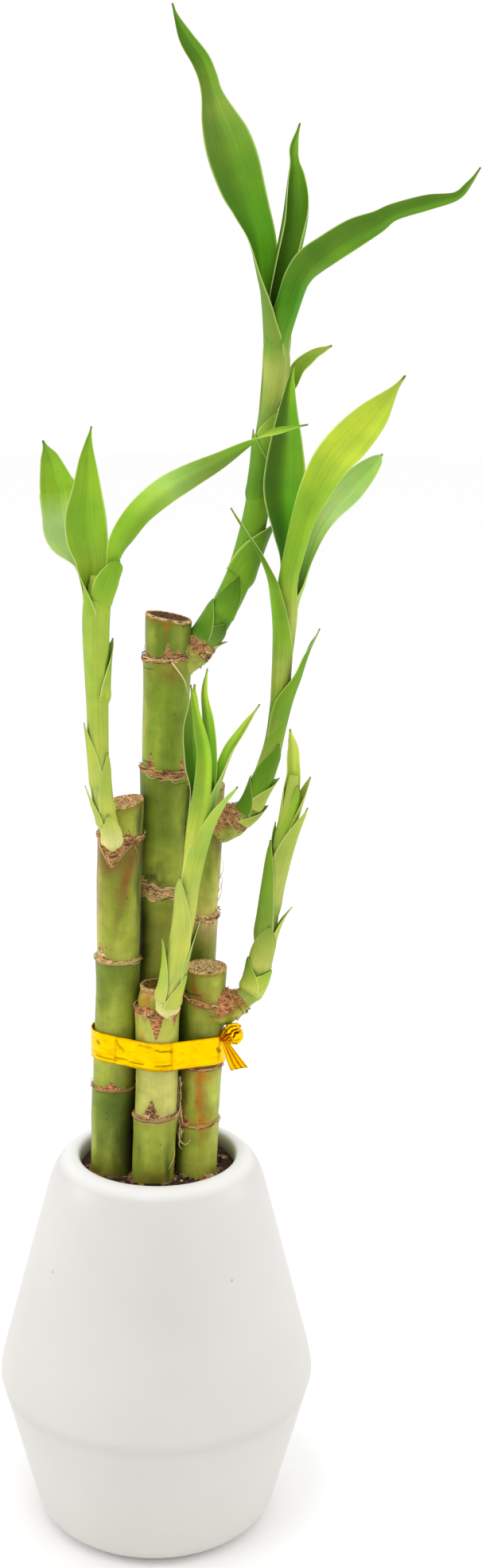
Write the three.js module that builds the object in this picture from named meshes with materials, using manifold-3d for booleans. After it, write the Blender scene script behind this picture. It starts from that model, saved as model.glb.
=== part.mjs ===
// Lucky bamboo: five cut canes with a leafy shoot each, tied with a foil ribbon, in a two-cone ceramic vase.
// Millimetres, +Z up. The origin is the centre of the vase's base, and the front of the plant faces -Y.

import * as THREE from "three";
import { mergeVertices } from "three/addons/utils/BufferGeometryUtils.js";
import Module from "manifold-3d";

const wasm = await Module();
wasm.setup();

// Vase: two straight cones that meet at a rounded ring, with a thick lip
const VASE_HEIGHT = 124;
const VASE_SIDES = 36;
const BASE_RADIUS = 37;
const BASE_ROUNDING = 8;
const RING_RADIUS = 51.1;
const RING_HEIGHT = 51;
const RING_ROUNDING = 8;
const SHOULDER_RADIUS = 31.7;
const LIP_ROUNDING = 11;
const LIP_CREST_RADIUS = 27;
const MOUTH_RADIUS = 24.3;
const MOUTH_DEPTH = 6;
const WALL = 4.6;
const FLOOR = 6;

// Soil
const SOIL_TOP = 120;
const SOIL_GAP = 0.4;
const SOIL_BUMP = 0.6;
const SOIL_WAVE = 7;
const SOIL_RINGS = [0.8, 0.45, 0];
const BARK_BITS = 7;
const BARK_LENGTH = { least: 2.7, spread: 4.5 };
const BARK_WIDTH = { least: 1.8, spread: 2.2 };
const BARK_THICKNESS = 1.4;
const BARK_TILT = 0.5;
const BARK_INSET = { least: 4, spread: 2.3 };
const BARK_SEED = 11;

// Canes
const CANE_FOOT = 30;
const CANE_SIDES = 14;
const NODE_RIDGE = 0.5;
const NODE_HALF_HEIGHT = 1.5;
const CALLUS_SIDES = 8;
const CONTACT_GAP = 0.35;

// Shoots
const STEM_SIDES = 8;
const BLADE_THICKNESS = 0.7;
const BLADE_COLUMNS = 4;
const SHEATH_SINK = 0.05;
const SHEATH_ROOT_SINK = 1.1;
const THROAT_OPENING = 0.8;
const BRACT_SHARES = [0.3, 0.6, 0.85];
const BRACT_TAPER = 1.8;
const TIP_ANGLE = 8;

// Ribbon round the canes
const RIBBON_MIDDLE = 161.8;
const RIBBON_HEIGHT = 9.2;
const RIBBON_FALL = 0.03;
const RIBBON_THICKNESS = 0.6;
const RIBBON_SAMPLES = 40;
const SHORTEST_STEP = 0.05;
const KNOT_RADIUS = 3.1;
const KNOT_BEARING = -25;
const KNOT_RISE = 3.8;
const KNOT_CREASE = 0.2;
const TAIL_THICKNESS = 0.6;

// Each cane: radius, centre line from foot to cut as [x, y, z], nodes, cut, and callus as [x, y, z, radius].
// A node or a cut is its height, and how far it drops per millimetre to the right.
const CANES = {
  cane_a: {
    radius: 6.7,
    route: [[-15.6, -3.2, CANE_FOOT], [-14, -2.2, 138], [-12.5, -2, 178], [-12.1, -2, 216], [-11.1, -2, 240]],
    nodes: [[148, 0], [189.4, 0], [228.6, 0.03]],
    cut: [239, -0.2],
    callus: [],
  },
  cane_b: {
    radius: 7,
    route: [[-3.2, 6.4, CANE_FOOT], [-0.7, 5.8, 155], [0.2, 5.8, 187], [1, 5.8, 226], [2.7, 6.2, 295]],
    nodes: [[172, 0], [209.8, 0.05], [247, 0.14], [281.8, -0.05]],
    cut: [294, 0.23],
    callus: [[2.5, 6.3, 277, 4.6], [9.4, 6.6, 282.4, 5], [13.4, 7, 286.6, 4.9]],
  },
  cane_c: {
    radius: 6.5,
    route: [[-3.2, -9.6, CANE_FOOT], [-1.5, -8.8, 119], [-0.3, -8.8, 150], [-0.3, -8.8, 184]],
    nodes: [[141, -0.03], [175.6, 0.06]],
    cut: [183, 0.02],
    callus: [],
  },
  cane_d: {
    radius: 6.4,
    route: [[11.4, -4.4, CANE_FOOT], [12.2, -3.2, 124], [13.9, -3, 165], [14.8, -3, 188]],
    nodes: [[118.2, 0], [136.6, -0.08], [155.4, 0], [176, 0.3]],
    cut: [187, 0],
    callus: [[12, -3, 174.5, 6.3], [20, -3, 174.8, 6.6], [24.3, -3, 175.2, 4.9], [27, -3, 175, 2.8]],
  },
  cane_e: {
    radius: 6.4,
    route: [[9.6, 13.6, CANE_FOOT], [10.4, 14.1, 147], [11.8, 14.4, 186], [12.5, 14.4, 206], [14, 14.5, 240]],
    nodes: [[152, 0], [198.6, 0.05], [227.6, -0.05]],
    cut: [240.6, 0.05],
    callus: [[13.5, 14.3, 228, 5.5], [20.7, 13.6, 228.3, 5.9], [25.3, 12.6, 230.2, 4.6], [27.4, 12, 231, 3.4]],
  },
};

// Each shoot: its stem as [x, y, z, radius], its bracts and its leaves.
// turn is the bearing round the stem of a bract's or leaf's midrib: 0 faces the front, 90 the right.
// from and to are heights on the stem, wrap is the half-angle that a sheath covers, and flare is how far
// a tip stands off. A leaf goes on from its sheath through places of six values: x, y, z, half-width,
// half-angle of its channel, and roll of its inner face.
const SHOOTS = {
  shoot_a: {
    on: "cane_a",
    stem: [
      [-13.9, -10, 230, 2.25],
      [-15.2, -12.2, 236.5, 3.25],
      [-17, -13.6, 244.2, 2.95],
      [-17.8, -14.2, 256.4, 3.05],
      [-18.1, -14.5, 280, 3.25],
      [-18.3, -14.5, 300, 2.95],
      [-18.3, -14.5, 309, 1.65],
    ],
    bracts: [
      { from: 229.5, to: 239, turn: 15, wrap: 120, flare: 0.4 },
      { from: 234, to: 247.4, turn: -75, wrap: 120, flare: 1.9 },
      { from: 238, to: 253.8, turn: 50, wrap: 120, flare: 0.5 },
      { from: 246, to: 266, turn: -70, wrap: 120, flare: 1.8 },
      { from: 268, to: 290.4, turn: 115, wrap: 120, flare: 1.2 },
    ],
    leaves: [
      {
        sheath: { from: 288, to: 300, turn: -160, wrap: 110 },
        blade: [
          [-20.8, -10, 309.5, 3.4, 45, 20],
          [-25, -7, 318, 4.8, 24, 20],
          [-28.4, -4, 326.5, 5.2, 16, 15],
          [-30, -1, 335, 4.9, 14, 10],
          [-32.2, 1.6, 341, 2.6, 12, 10],
          [-34.2, 3.6, 345.8, 0.4, 8, 10],
        ],
      },
      {
        sheath: { from: 285, to: 297, turn: -100, wrap: 110 },
        blade: [
          [-19.4, -13.6, 311.5, 4.9, 42, 10],
          [-20.8, -14.5, 319.4, 5.9, 26, 0],
          [-21.1, -15.2, 326, 5.8, 20, 0],
          [-20.8, -16, 333.5, 4.1, 18, 0],
          [-20.6, -16.6, 341.5, 2.3, 15, 0],
          [-19.5, -17, 351, 0.4, 8, 0],
        ],
      },
      {
        sheath: { from: 287, to: 299, turn: 90, wrap: 110 },
        blade: [
          [-13.2, -15.2, 311, 3, 60, 245],
          [-11, -17.2, 319, 3.9, 35, 215],
          [-6.3, -19.8, 327, 3.9, 22, 200],
          [0.8, -22.4, 333.8, 4, 18, 195],
          [8.2, -24.2, 338.5, 3.6, 16, 195],
          [16, -25.4, 342.8, 2.6, 16, 200],
          [23.6, -25.6, 347.6, 1.3, 20, 225],
          [28.4, -25, 350.3, 0.8, 20, 280],
          [34, -24, 351.7, 0.9, 12, 340],
          [41.2, -22.5, 353, 0.35, 5, 350],
        ],
      },
      {
        sheath: { from: 284, to: 296, turn: 35, wrap: 110 },
        blade: [
          [-15.6, -17.4, 302, 4.6, 72, 215],
          [-14.2, -18.4, 307.5, 4.4, 55, 215],
          [-12.6, -18.6, 312, 2.6, 40, 215],
          [-12, -18.4, 314, 0.8, 20, 215],
        ],
      },
    ],
  },
  shoot_b: {
    on: "cane_b",
    stem: [
      [10.5, 6.7, 283.5, 3.7],
      [14.5, 7.3, 288.6, 4.2],
      [19.2, 8.2, 296.1, 4.1],
      [24.1, 9.6, 306.8, 4],
      [27.9, 11, 321.1, 3.8],
      [30.2, 12, 335.2, 3.6],
      [31.4, 12.7, 346.8, 3.4],
      [32.9, 13, 358.3, 3.3],
      [34.2, 13, 369.8, 3.4],
      [34.9, 13, 378, 2.2],
    ],
    bracts: [
      { from: 285, to: 295.5, turn: -75, wrap: 110, flare: 0.5 },
      { from: 286, to: 293.6, turn: 20, wrap: 100, flare: 0.6 },
      { from: 290, to: 305, turn: -20, wrap: 120, flare: 0.3 },
      { from: 303, to: 324, turn: 85, wrap: 120, flare: 2.6 },
      { from: 328, to: 348.4, turn: -75, wrap: 120, flare: 0.8 },
      { from: 340, to: 354.6, turn: 30, wrap: 120, flare: 0.2 },
    ],
    leaves: [
      {
        sheath: { from: 358, to: 370, turn: -75, wrap: 110 },
        blade: [
          [30.7, 11.8, 381, 4.8, 82, 85],
          [29.4, 12.6, 392, 5.4, 66, 55],
          [28, 14.5, 402.9, 5.7, 50, 38],
          [25.4, 16.5, 411.1, 6.3, 36, 26],
          [23.2, 18, 417.3, 7, 28, 18],
          [20.9, 20, 424.9, 7.4, 22, 12],
          [18.7, 21, 431.5, 6.9, 20, 8],
          [16.5, 22, 437.3, 5.3, 24, 5],
          [14.5, 22.6, 443.8, 3.1, 34, 0],
          [13.2, 23, 448.5, 2.7, 38, -10],
          [11, 22.8, 453.2, 2.7, 26, -20],
          [7.2, 21, 458.3, 2.2, 20, -20],
          [4.1, 19, 464, 1, 15, -20],
          [2.7, 17.4, 467.5, 0.35, 5, -20],
        ],
      },
      {
        sheath: { from: 362, to: 374, turn: 160, wrap: 110 },
        blade: [
          [35, 14.2, 384, 5.6, 118, 345],
          [36.1, 14.8, 394.4, 6.6, 128, 355],
          [38, 14.8, 406.1, 6.8, 128, 360],
          [38.5, 14.3, 414.3, 5.3, 105, 370],
          [38.2, 13.8, 420.9, 3, 85, 380],
          [38, 13.3, 424.8, 1.4, 60, 380],
          [38, 13, 429, 1.1, 40, 380],
          [39.6, 12.4, 435.5, 0.35, 10, 380],
        ],
      },
      {
        sheath: { from: 354, to: 366, turn: 20, wrap: 110 },
        blade: [
          [34.9, 9.6, 374.4, 5.2, 92, 200],
          [38, 8.2, 385.3, 4.8, 80, 205],
          [40.1, 6.6, 392, 4.8, 62, 205],
          [43.1, 4.8, 396.5, 5, 45, 200],
          [47.4, 2.5, 400.2, 4.6, 32, 198],
          [54.5, -0.6, 405, 4.2, 25, 195],
          [60.7, -2.8, 408.1, 3.1, 24, 190],
          [65.5, -4, 411, 2.3, 28, 190],
          [74.5, -5, 413.7, 2, 24, 190],
          [82.5, -5, 415.4, 0.9, 40, 180],
          [86.2, -4.6, 418.9, 0.7, 30, 180],
          [89.2, -4, 423.3, 0.35, 5, 180],
        ],
      },
      {
        sheath: { from: 343, to: 355, turn: 125, wrap: 110 },
        blade: [
          [38.4, 15.2, 361.5, 2.7, 60, 320],
          [41.2, 16.8, 367, 2.2, 50, 330],
          [45.3, 18.4, 370.6, 1.5, 40, 330],
          [50.7, 20, 373.4, 0.35, 10, 330],
        ],
      },
    ],
  },
  shoot_c: {
    on: "cane_c",
    stem: [
      [2.4, -12.8, 175.5, 2.65],
      [2.9, -15.8, 180, 3.85],
      [4, -17.4, 186, 3.35],
      [5.9, -18.6, 196.2, 3.05],
      [7.7, -19.6, 206.5, 2.95],
      [9.3, -20.2, 219, 2.85],
      [10.8, -20.5, 231.3, 2.75],
      [12.5, -20.5, 243.4, 2.35],
      [13.4, -20.5, 250, 1.35],
    ],
    bracts: [
      { from: 179, to: 192.4, turn: 65, wrap: 120, flare: 0.6 },
      { from: 181, to: 201, turn: -65, wrap: 120, flare: 1.7 },
      { from: 188, to: 221.2, turn: -50, wrap: 120, flare: 1.5 },
      { from: 188, to: 208, turn: 85, wrap: 120, flare: 1.5 },
    ],
    leaves: [
      {
        sheath: { from: 224, to: 236, turn: -150, wrap: 110 },
        blade: [
          [11.4, -18.8, 247, 3, 60, 20],
          [10.1, -17.6, 255, 2.8, 45, 10],
          [9.6, -17, 264, 2.5, 35, 0],
          [9.9, -17, 271.5, 1.3, 30, 0],
          [10.2, -17.2, 277.7, 0.35, 10, 0],
        ],
      },
      {
        sheath: { from: 228, to: 240, turn: 150, wrap: 110 },
        blade: [
          [14.5, -19.4, 250, 2.5, 60, 340],
          [14.7, -18.6, 257.2, 2.2, 45, 350],
          [14, -18, 267.7, 1.5, 35, 355],
          [13, -17.8, 275.9, 0.7, 25, 355],
          [13.8, -17.2, 282.5, 0.35, 5, 355],
        ],
      },
      {
        sheath: { from: 224, to: 236, turn: 75, wrap: 110 },
        blade: [
          [15.8, -20.2, 244, 2.9, 72, 268],
          [17.9, -20.4, 251.5, 2.9, 58, 285],
          [20.4, -20.4, 258.8, 2.4, 50, 298],
          [24, -20.6, 265.3, 1.4, 42, 300],
          [28.6, -21, 273, 0.35, 10, 300],
        ],
      },
      {
        sheath: { from: 222, to: 234, turn: -10, wrap: 110 },
        blade: [
          [12.4, -23.4, 246.3, 2.7, 62, 180],
          [13, -24.2, 256, 2.1, 45, 180],
          [11.9, -24.8, 264.5, 1.5, 35, 180],
          [10.4, -25, 271.6, 0.9, 25, 180],
          [8.9, -24.8, 279.3, 0.35, 5, 180],
        ],
      },
      {
        sheath: { from: 214, to: 226, turn: 55, wrap: 110 },
        blade: [
          [15.4, -22, 236.5, 3.2, 62, 235],
          [18.4, -22.4, 243, 2, 45, 240],
          [22.5, -22.8, 249, 0.35, 10, 240],
        ],
      },
    ],
  },
  shoot_d: {
    on: "cane_d",
    stem: [
      [24, -3, 175.2, 3],
      [27.6, -3, 177.6, 3.4],
      [29.9, -3, 182, 3.6],
      [31.2, -3, 188, 3.4],
      [32.7, -3, 196, 3.15],
      [34.4, -2.5, 208.5, 2.95],
      [36.4, -2, 219.8, 2.85],
      [38.1, -1.5, 229.7, 2.65],
      [39.9, -1, 239.5, 2.25],
      [40.5, -1, 244.5, 1.25],
    ],
    bracts: [
      { from: 178, to: 189.6, turn: -70, wrap: 110, flare: 0.5 },
      { from: 177, to: 187, turn: 60, wrap: 120, flare: 0.6 },
      { from: 186, to: 200.8, turn: 5, wrap: 120, flare: 0.4 },
      { from: 188, to: 206.8, turn: 85, wrap: 120, flare: 4.2 },
      { from: 192, to: 226.6, turn: -65, wrap: 120, flare: 1.4 },
      { from: 208, to: 231.4, turn: -120, wrap: 120, flare: 0.6 },
      { from: 206, to: 238.2, turn: 60, wrap: 120, flare: 3.6 },
      { from: 222, to: 244.4, turn: 30, wrap: 120, flare: 0.8 },
      { from: 226, to: 246.4, turn: 105, wrap: 120, flare: 3.6 },
    ],
    leaves: [
      {
        sheath: { from: 228, to: 240, turn: -160, wrap: 110 },
        blade: [
          [40.2, -0.6, 247.5, 2.1, 70, 10],
          [40.3, -0.5, 253.5, 1.6, 50, 5],
          [39.3, 0, 260.8, 0.35, 10, 0],
        ],
      },
    ],
  },
  shoot_e: {
    on: "cane_e",
    stem: [
      [24.6, 12.6, 229, 3.15],
      [27.6, 11.3, 232.8, 3.45],
      [30, 10.6, 238, 3.25],
      [32.9, 9.8, 246.8, 3.05],
      [35.1, 9, 255.7, 2.85],
      [36.5, 8, 268.3, 2.85],
      [37.3, 6.5, 283.3, 2.75],
      [38, 5, 295.6, 2.55],
      [38.6, 3.9, 305, 2.15],
      [39, 3.2, 311, 1.25],
    ],
    bracts: [
      { from: 229.5, to: 236, turn: 95, wrap: 110, flare: 1 },
      { from: 231, to: 243, turn: -80, wrap: 120, flare: 0.4 },
      { from: 233, to: 244.6, turn: 95, wrap: 120, flare: 1.8 },
      { from: 240, to: 255.4, turn: 25, wrap: 120, flare: 0.4 },
    ],
    leaves: [
      {
        sheath: { from: 289, to: 301, turn: -150, wrap: 110 },
        blade: [
          [37.9, 5.8, 311.5, 3.6, 66, 25],
          [37.5, 5.2, 320, 4.7, 42, 10],
          [36.4, 4.8, 330.5, 5.9, 28, 0],
          [36.5, 4.7, 338, 5.9, 24, 0],
          [36.8, 4.7, 346.2, 4.6, 22, 0],
          [37.1, 4.8, 355.3, 2.6, 20, 0],
          [37.8, 5, 363.3, 1, 15, 0],
          [38.8, 5.2, 368.5, 0.35, 5, 0],
        ],
      },
      {
        sheath: { from: 285, to: 297, turn: 120, wrap: 110 },
        blade: [
          [42.3, 6.6, 304, 2.5, 72, 305],
          [44, 8, 311.4, 2.6, 58, 320],
          [46.4, 9.8, 318, 2.9, 45, 330],
          [50.5, 12.4, 324.6, 3.6, 32, 335],
          [56.4, 15.8, 331, 4.3, 24, 340],
          [61.7, 18.5, 336.3, 3.4, 18, 340],
          [65.3, 20.5, 339.8, 1.7, 14, 340],
          [67, 21.6, 341.4, 0.4, 8, 340],
        ],
      },
      {
        sheath: { from: 282, to: 294, turn: 10, wrap: 110 },
        blade: [
          [38.3, -0.6, 305, 3.7, 88, 195],
          [39.8, -1.8, 313.2, 3.8, 80, 192],
          [42.4, -3.4, 325.1, 4.1, 60, 190],
          [45, -5, 332.2, 4.9, 42, 190],
          [49.2, -7.5, 340.9, 5.8, 28, 190],
          [54.2, -9.5, 347.5, 6, 22, 190],
          [60.5, -11.5, 355.1, 4.6, 18, 190],
          [64.8, -12.5, 360.8, 2, 14, 190],
          [68.9, -13, 366.4, 0.35, 5, 190],
        ],
      },
      {
        sheath: { from: 270, to: 282, turn: -50, wrap: 110 },
        blade: [
          [35, 1.2, 291.6, 3.7, 72, 132],
          [33.9, -0.4, 300.5, 2.6, 58, 130],
          [32.8, -1.2, 305.8, 1.9, 50, 128],
          [30.7, -1.8, 311.5, 1, 40, 120],
          [27.6, -1.5, 317.1, 0.8, 30, 110],
          [24.3, -0.5, 322, 0.6, 20, 110],
          [21, 0, 327.3, 0.35, 10, 110],
        ],
      },
      {
        sheath: { from: 255, to: 267, turn: 70, wrap: 110 },
        blade: [
          [41.8, 4.6, 276.5, 2.6, 58, 255],
          [44.6, 6, 284, 1.5, 45, 265],
          [47.7, 8, 290.3, 0.35, 10, 270],
        ],
      },
    ],
  },
};

// Loose end of the ribbon, from under the knot down, in a leaf's six values and from the knot's centre
const TAIL = [
  [-0.9, -0.4, -3.7, 0.8, 20, 0],
  [0.2, -0.9, -6.5, 1.8, 20, 0],
  [1.9, -1.5, -10.1, 2.8, 20, 0],
];

const WELD = 0.001;
const VIEWER = new THREE.Vector3(0, -1, 0);
const radians = THREE.MathUtils.degToRad;

// A solid from a closed three.js geometry, without the squashed triangles that a lathe has at its poles
function solidFrom(geometry) {
  geometry.deleteAttribute("normal");
  geometry.deleteAttribute("uv");
  const merged = mergeVertices(geometry, WELD);
  const corners = merged.index.array;
  const kept = [];
  for (let i = 0; i < corners.length; i += 3) {
    const [a, b, c] = corners.subarray(i, i + 3);
    if (a !== b && b !== c && c !== a) kept.push(a, b, c);
  }
  return new wasm.Manifold(
    new wasm.Mesh({
      numProp: 3,
      vertProperties: merged.attributes.position.array,
      triVerts: new Uint32Array(kept),
    }),
  );
}

// A closed skin over rings of points that turn the same way round the line they follow.
// A blade's second half of each ring is its back, which is split into triangles like its front.
function skin(rings, isBlade) {
  const count = rings[0].length;
  const half = count / 2;
  const index = [];
  for (let i = 0; i < rings.length - 1; i++) {
    for (let j = 0; j < count; j++) {
      const a = i * count + j;
      const b = i * count + ((j + 1) % count);
      const c = a + count;
      const d = b + count;
      if (isBlade && j >= half) index.push(a, b, c, b, d, c);
      else index.push(a, b, d, a, d, c);
    }
  }
  const end = (rings.length - 1) * count;
  for (let k = 0; k < half - 1; k++) {
    const near = count - 1 - k;
    const far = count - 2 - k;
    index.push(k, far, k + 1, k, near, far);
    index.push(end + k, end + k + 1, end + far, end + k, end + far, end + near);
  }
  const geometry = new THREE.BufferGeometry().setFromPoints(rings.flat());
  geometry.setIndex(index);
  return solidFrom(geometry);
}

// The direction at a bearing round a line: 0 towards the viewer, 90 to the right of an upright line
function sideways(tangent, bearing) {
  const side = VIEWER.clone().addScaledVector(tangent, -VIEWER.dot(tangent)).normalize();
  return side.applyAxisAngle(tangent, radians(bearing));
}

function lineThrough(places) {
  const points = places.map(([x, y, z]) => new THREE.Vector3(x, y, z));
  return new THREE.CatmullRomCurve3(points, false, "catmullrom", 0.5);
}

// A round stalk through [x, y, z, radius] places, grown on all sides by an extra
function stalk(places, sides, extra = 0) {
  const line = lineThrough(places);
  const last = places.length - 1;
  const rings = places.map(([x, y, z, radius], i) => {
    const tangent = line.getTangent(i / last);
    const centre = new THREE.Vector3(x, y, z);
    if (i === 0) centre.addScaledVector(tangent, -extra);
    if (i === last) centre.addScaledVector(tangent, extra);
    const ring = [];
    for (let j = 0; j < sides; j++) {
      const side = sideways(tangent, (360 * j) / sides);
      ring.push(centre.clone().addScaledVector(side, radius + extra));
    }
    return ring;
  });
  return skin(rings, false);
}

// A channelled blade through places of six values, with its back outside its channel
function blade(places, thickness) {
  const line = lineThrough(places);
  const rings = places.map(([x, y, z, width, angle, roll], i) => {
    const tangent = line.getTangent(i / (places.length - 1));
    const bend = radians(angle);
    const radius = width / bend;
    const inward = sideways(tangent, roll);
    const across = tangent.clone().cross(inward);
    const axis = new THREE.Vector3(x, y, z).addScaledVector(inward, radius);
    const front = [];
    const back = [];
    for (let column = 0; column <= BLADE_COLUMNS; column++) {
      const turn = bend * ((2 * column) / BLADE_COLUMNS - 1);
      const out = inward.clone().multiplyScalar(-Math.cos(turn)).addScaledVector(across, Math.sin(turn));
      front.push(axis.clone().addScaledVector(out, radius));
      back.unshift(axis.clone().addScaledVector(out, radius + thickness));
    }
    return [...front, ...back];
  });
  return skin(rings, true);
}

// The stem's centre, direction and radius at a height
function stemAt(stem, height) {
  const above = Math.max(stem.slice(0, -1).filter((place) => place[2] < height).length, 1);
  const [x0, y0, z0, r0] = stem[above - 1];
  const [x1, y1, z1, r1] = stem[above];
  const share = (height - z0) / (z1 - z0);
  const centre = new THREE.Vector3(x0, y0, z0).lerp(new THREE.Vector3(x1, y1, z1), share);
  const tangent = new THREE.Vector3(x1 - x0, y1 - y0, z1 - z0).normalize();
  return { centre, tangent, radius: r0 + (r1 - r0) * share };
}

// One place of a sheath: lying on the stem, or standing off it by a little
function sheathPlace(stem, height, turn, angle, off) {
  const { centre, tangent, radius } = stemAt(stem, height);
  const reach = radius + off;
  const place = centre.addScaledVector(sideways(tangent, turn), reach);
  return [...place.toArray(), radians(angle) * reach, angle, turn + 180];
}

function bract(stem, { from, to, turn, wrap, flare }) {
  const places = [sheathPlace(stem, from, turn, wrap, -SHEATH_ROOT_SINK)];
  for (const share of BRACT_SHARES) {
    const angle = wrap * (1 - share ** BRACT_TAPER);
    const off = flare * share * share - SHEATH_SINK;
    places.push(sheathPlace(stem, from + (to - from) * share, turn, angle, off));
  }
  places.push(sheathPlace(stem, to, turn, TIP_ANGLE, flare - SHEATH_SINK));
  return blade(places, BLADE_THICKNESS);
}

function leaf(stem, { sheath, blade: places }) {
  const { from, to, turn, wrap } = sheath;
  const root = sheathPlace(stem, from, turn, wrap, -SHEATH_ROOT_SINK);
  const throat = sheathPlace(stem, to, turn, wrap * THROAT_OPENING, -SHEATH_SINK);
  return blade([root, throat, ...places], BLADE_THICKNESS);
}

function geometryOf(solid) {
  const { numProp, numVert, vertProperties, triVerts } = solid.getMesh();
  const position = new Float32Array(numVert * 3);
  for (let i = 0; i < numVert; i++) {
    position.set(vertProperties.subarray(i * numProp, i * numProp + 3), i * 3);
  }
  const geometry = new THREE.BufferGeometry();
  geometry.setAttribute("position", new THREE.BufferAttribute(position, 3));
  geometry.setIndex(new THREE.BufferAttribute(triVerts, 1));
  return geometry;
}

// The one body of a piece that grew or was cut, with near corners welded and without scraps or sealed hollows
function wholeBody(solid) {
  const bodies = solidFrom(geometryOf(solid)).decompose();
  return bodies.sort((a, b) => b.volume() - a.volume())[0];
}

function meshOf(name, solid, colour, roughness, metalness = 0) {
  const material = new THREE.MeshStandardMaterial({ color: colour, roughness, metalness, flatShading: true });
  const mesh = new THREE.Mesh(geometryOf(solid), material);
  mesh.name = name;
  return mesh;
}

// Outside of the vase up to the crest of its lip, from a path of straight cones with rounded corners
function outerPath() {
  const lowerLean = (RING_RADIUS - BASE_RADIUS) / RING_HEIGHT;
  const upperLean = (RING_RADIUS - SHOULDER_RADIUS) / (VASE_HEIGHT - RING_HEIGHT);
  const path = new THREE.Path();
  path.moveTo(0, 0);
  path.lineTo(BASE_RADIUS - BASE_ROUNDING, 0);
  path.quadraticCurveTo(BASE_RADIUS, 0, BASE_RADIUS + lowerLean * BASE_ROUNDING, BASE_ROUNDING);
  path.lineTo(RING_RADIUS - lowerLean * RING_ROUNDING, RING_HEIGHT - RING_ROUNDING);
  path.quadraticCurveTo(
    RING_RADIUS,
    RING_HEIGHT,
    RING_RADIUS - upperLean * RING_ROUNDING,
    RING_HEIGHT + RING_ROUNDING,
  );
  path.lineTo(SHOULDER_RADIUS + upperLean * LIP_ROUNDING, VASE_HEIGHT - LIP_ROUNDING);
  path.quadraticCurveTo(SHOULDER_RADIUS, VASE_HEIGHT, LIP_CREST_RADIUS, VASE_HEIGHT);
  return path;
}

// Corners of the vase's inside from the foot of its mouth down to its floor, drawn in by a gap
function innerCorners(gap) {
  const lean = (RING_RADIUS - SHOULDER_RADIUS) / (VASE_HEIGHT - RING_HEIGHT);
  const neck = VASE_HEIGHT - MOUTH_DEPTH;
  const flared = neck - MOUTH_DEPTH * 2;
  const flaredRadius = SHOULDER_RADIUS + lean * (VASE_HEIGHT - flared) - WALL;
  return [
    new THREE.Vector2(MOUTH_RADIUS - gap, neck - gap / 2),
    new THREE.Vector2(flaredRadius - gap, flared - gap / 2),
    new THREE.Vector2(RING_RADIUS - WALL - gap, RING_HEIGHT),
    new THREE.Vector2(BASE_RADIUS - WALL - gap, FLOOR + gap),
    new THREE.Vector2(0, FLOOR + gap),
  ];
}

function vase() {
  const lip = new THREE.Path();
  lip.moveTo(LIP_CREST_RADIUS, VASE_HEIGHT);
  lip.quadraticCurveTo(MOUTH_RADIUS, VASE_HEIGHT, MOUTH_RADIUS, VASE_HEIGHT - MOUTH_DEPTH / 2);
  const profile = [...outerPath().getPoints(3), ...lip.getPoints(2).slice(1), ...innerCorners(0)];
  return solidFrom(new THREE.LatheGeometry(profile, VASE_SIDES).rotateX(Math.PI / 2));
}

// A repeatable draw between 0 and 1
function draws(seed) {
  let state = seed;
  return () => {
    state = (state * 16807) % 2147483647;
    return state / 2147483647;
  };
}

// Potting soil that fills the vase, with bark bits half sunk in its top and a plain hole for each cane
function soil() {
  const [neck, ...below] = innerCorners(SOIL_GAP);
  const top = SOIL_RINGS.map((share) => new THREE.Vector2(neck.x * share, SOIL_TOP));
  const profile = [...below.reverse(), neck, new THREE.Vector2(neck.x, SOIL_TOP - SOIL_BUMP), ...top];
  const geometry = new THREE.LatheGeometry(profile, VASE_SIDES);
  const position = geometry.attributes.position;
  for (let i = 0; i < position.count; i++) {
    if (position.getY(i) < SOIL_TOP - SOIL_BUMP / 2) continue;
    const wave = Math.sin((2 * Math.PI * position.getX(i)) / SOIL_WAVE) * Math.cos(position.getZ(i));
    position.setY(i, SOIL_TOP + SOIL_BUMP * wave);
  }
  let ground = solidFrom(geometry.rotateX(Math.PI / 2));
  const draw = draws(BARK_SEED);
  const drawn = ({ least, spread }) => least + spread * draw();
  for (let i = 0; i < BARK_BITS; i++) {
    const bit = new THREE.BoxGeometry(drawn(BARK_LENGTH), drawn(BARK_WIDTH), BARK_THICKNESS);
    bit.rotateX(BARK_TILT * (2 * draw() - 1));
    bit.rotateZ(Math.PI * draw());
    const bearing = (2 * Math.PI * (i + draw())) / BARK_BITS;
    const reach = MOUTH_RADIUS - drawn(BARK_INSET);
    bit.translate(reach * Math.cos(bearing), reach * Math.sin(bearing), SOIL_TOP + SOIL_BUMP / 2);
    ground = ground.add(solidFrom(bit));
  }
  for (const cane of Object.values(CANES)) ground = ground.subtract(caneHole(cane));
  return wholeBody(ground);
}

function caneCentre(route, height) {
  const above = Math.max(route.slice(0, -1).filter((place) => place[2] < height).length, 1);
  const low = new THREE.Vector3(...route[above - 1]);
  const high = new THREE.Vector3(...route[above]);
  return low.clone().lerp(high, (height - low.z) / (high.z - low.z));
}

// A level of a cane: a ring that lies flat or falls to the right
function caneRing(route, height, radius, fall) {
  const centre = caneCentre(route, height);
  const ring = [];
  for (let j = 0; j < CANE_SIDES; j++) {
    const bearing = (2 * Math.PI * j) / CANE_SIDES;
    const right = radius * Math.cos(bearing);
    const back = radius * Math.sin(bearing);
    ring.push(new THREE.Vector3(centre.x + right, centre.y + back, height - fall * right));
  }
  return ring;
}

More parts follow.
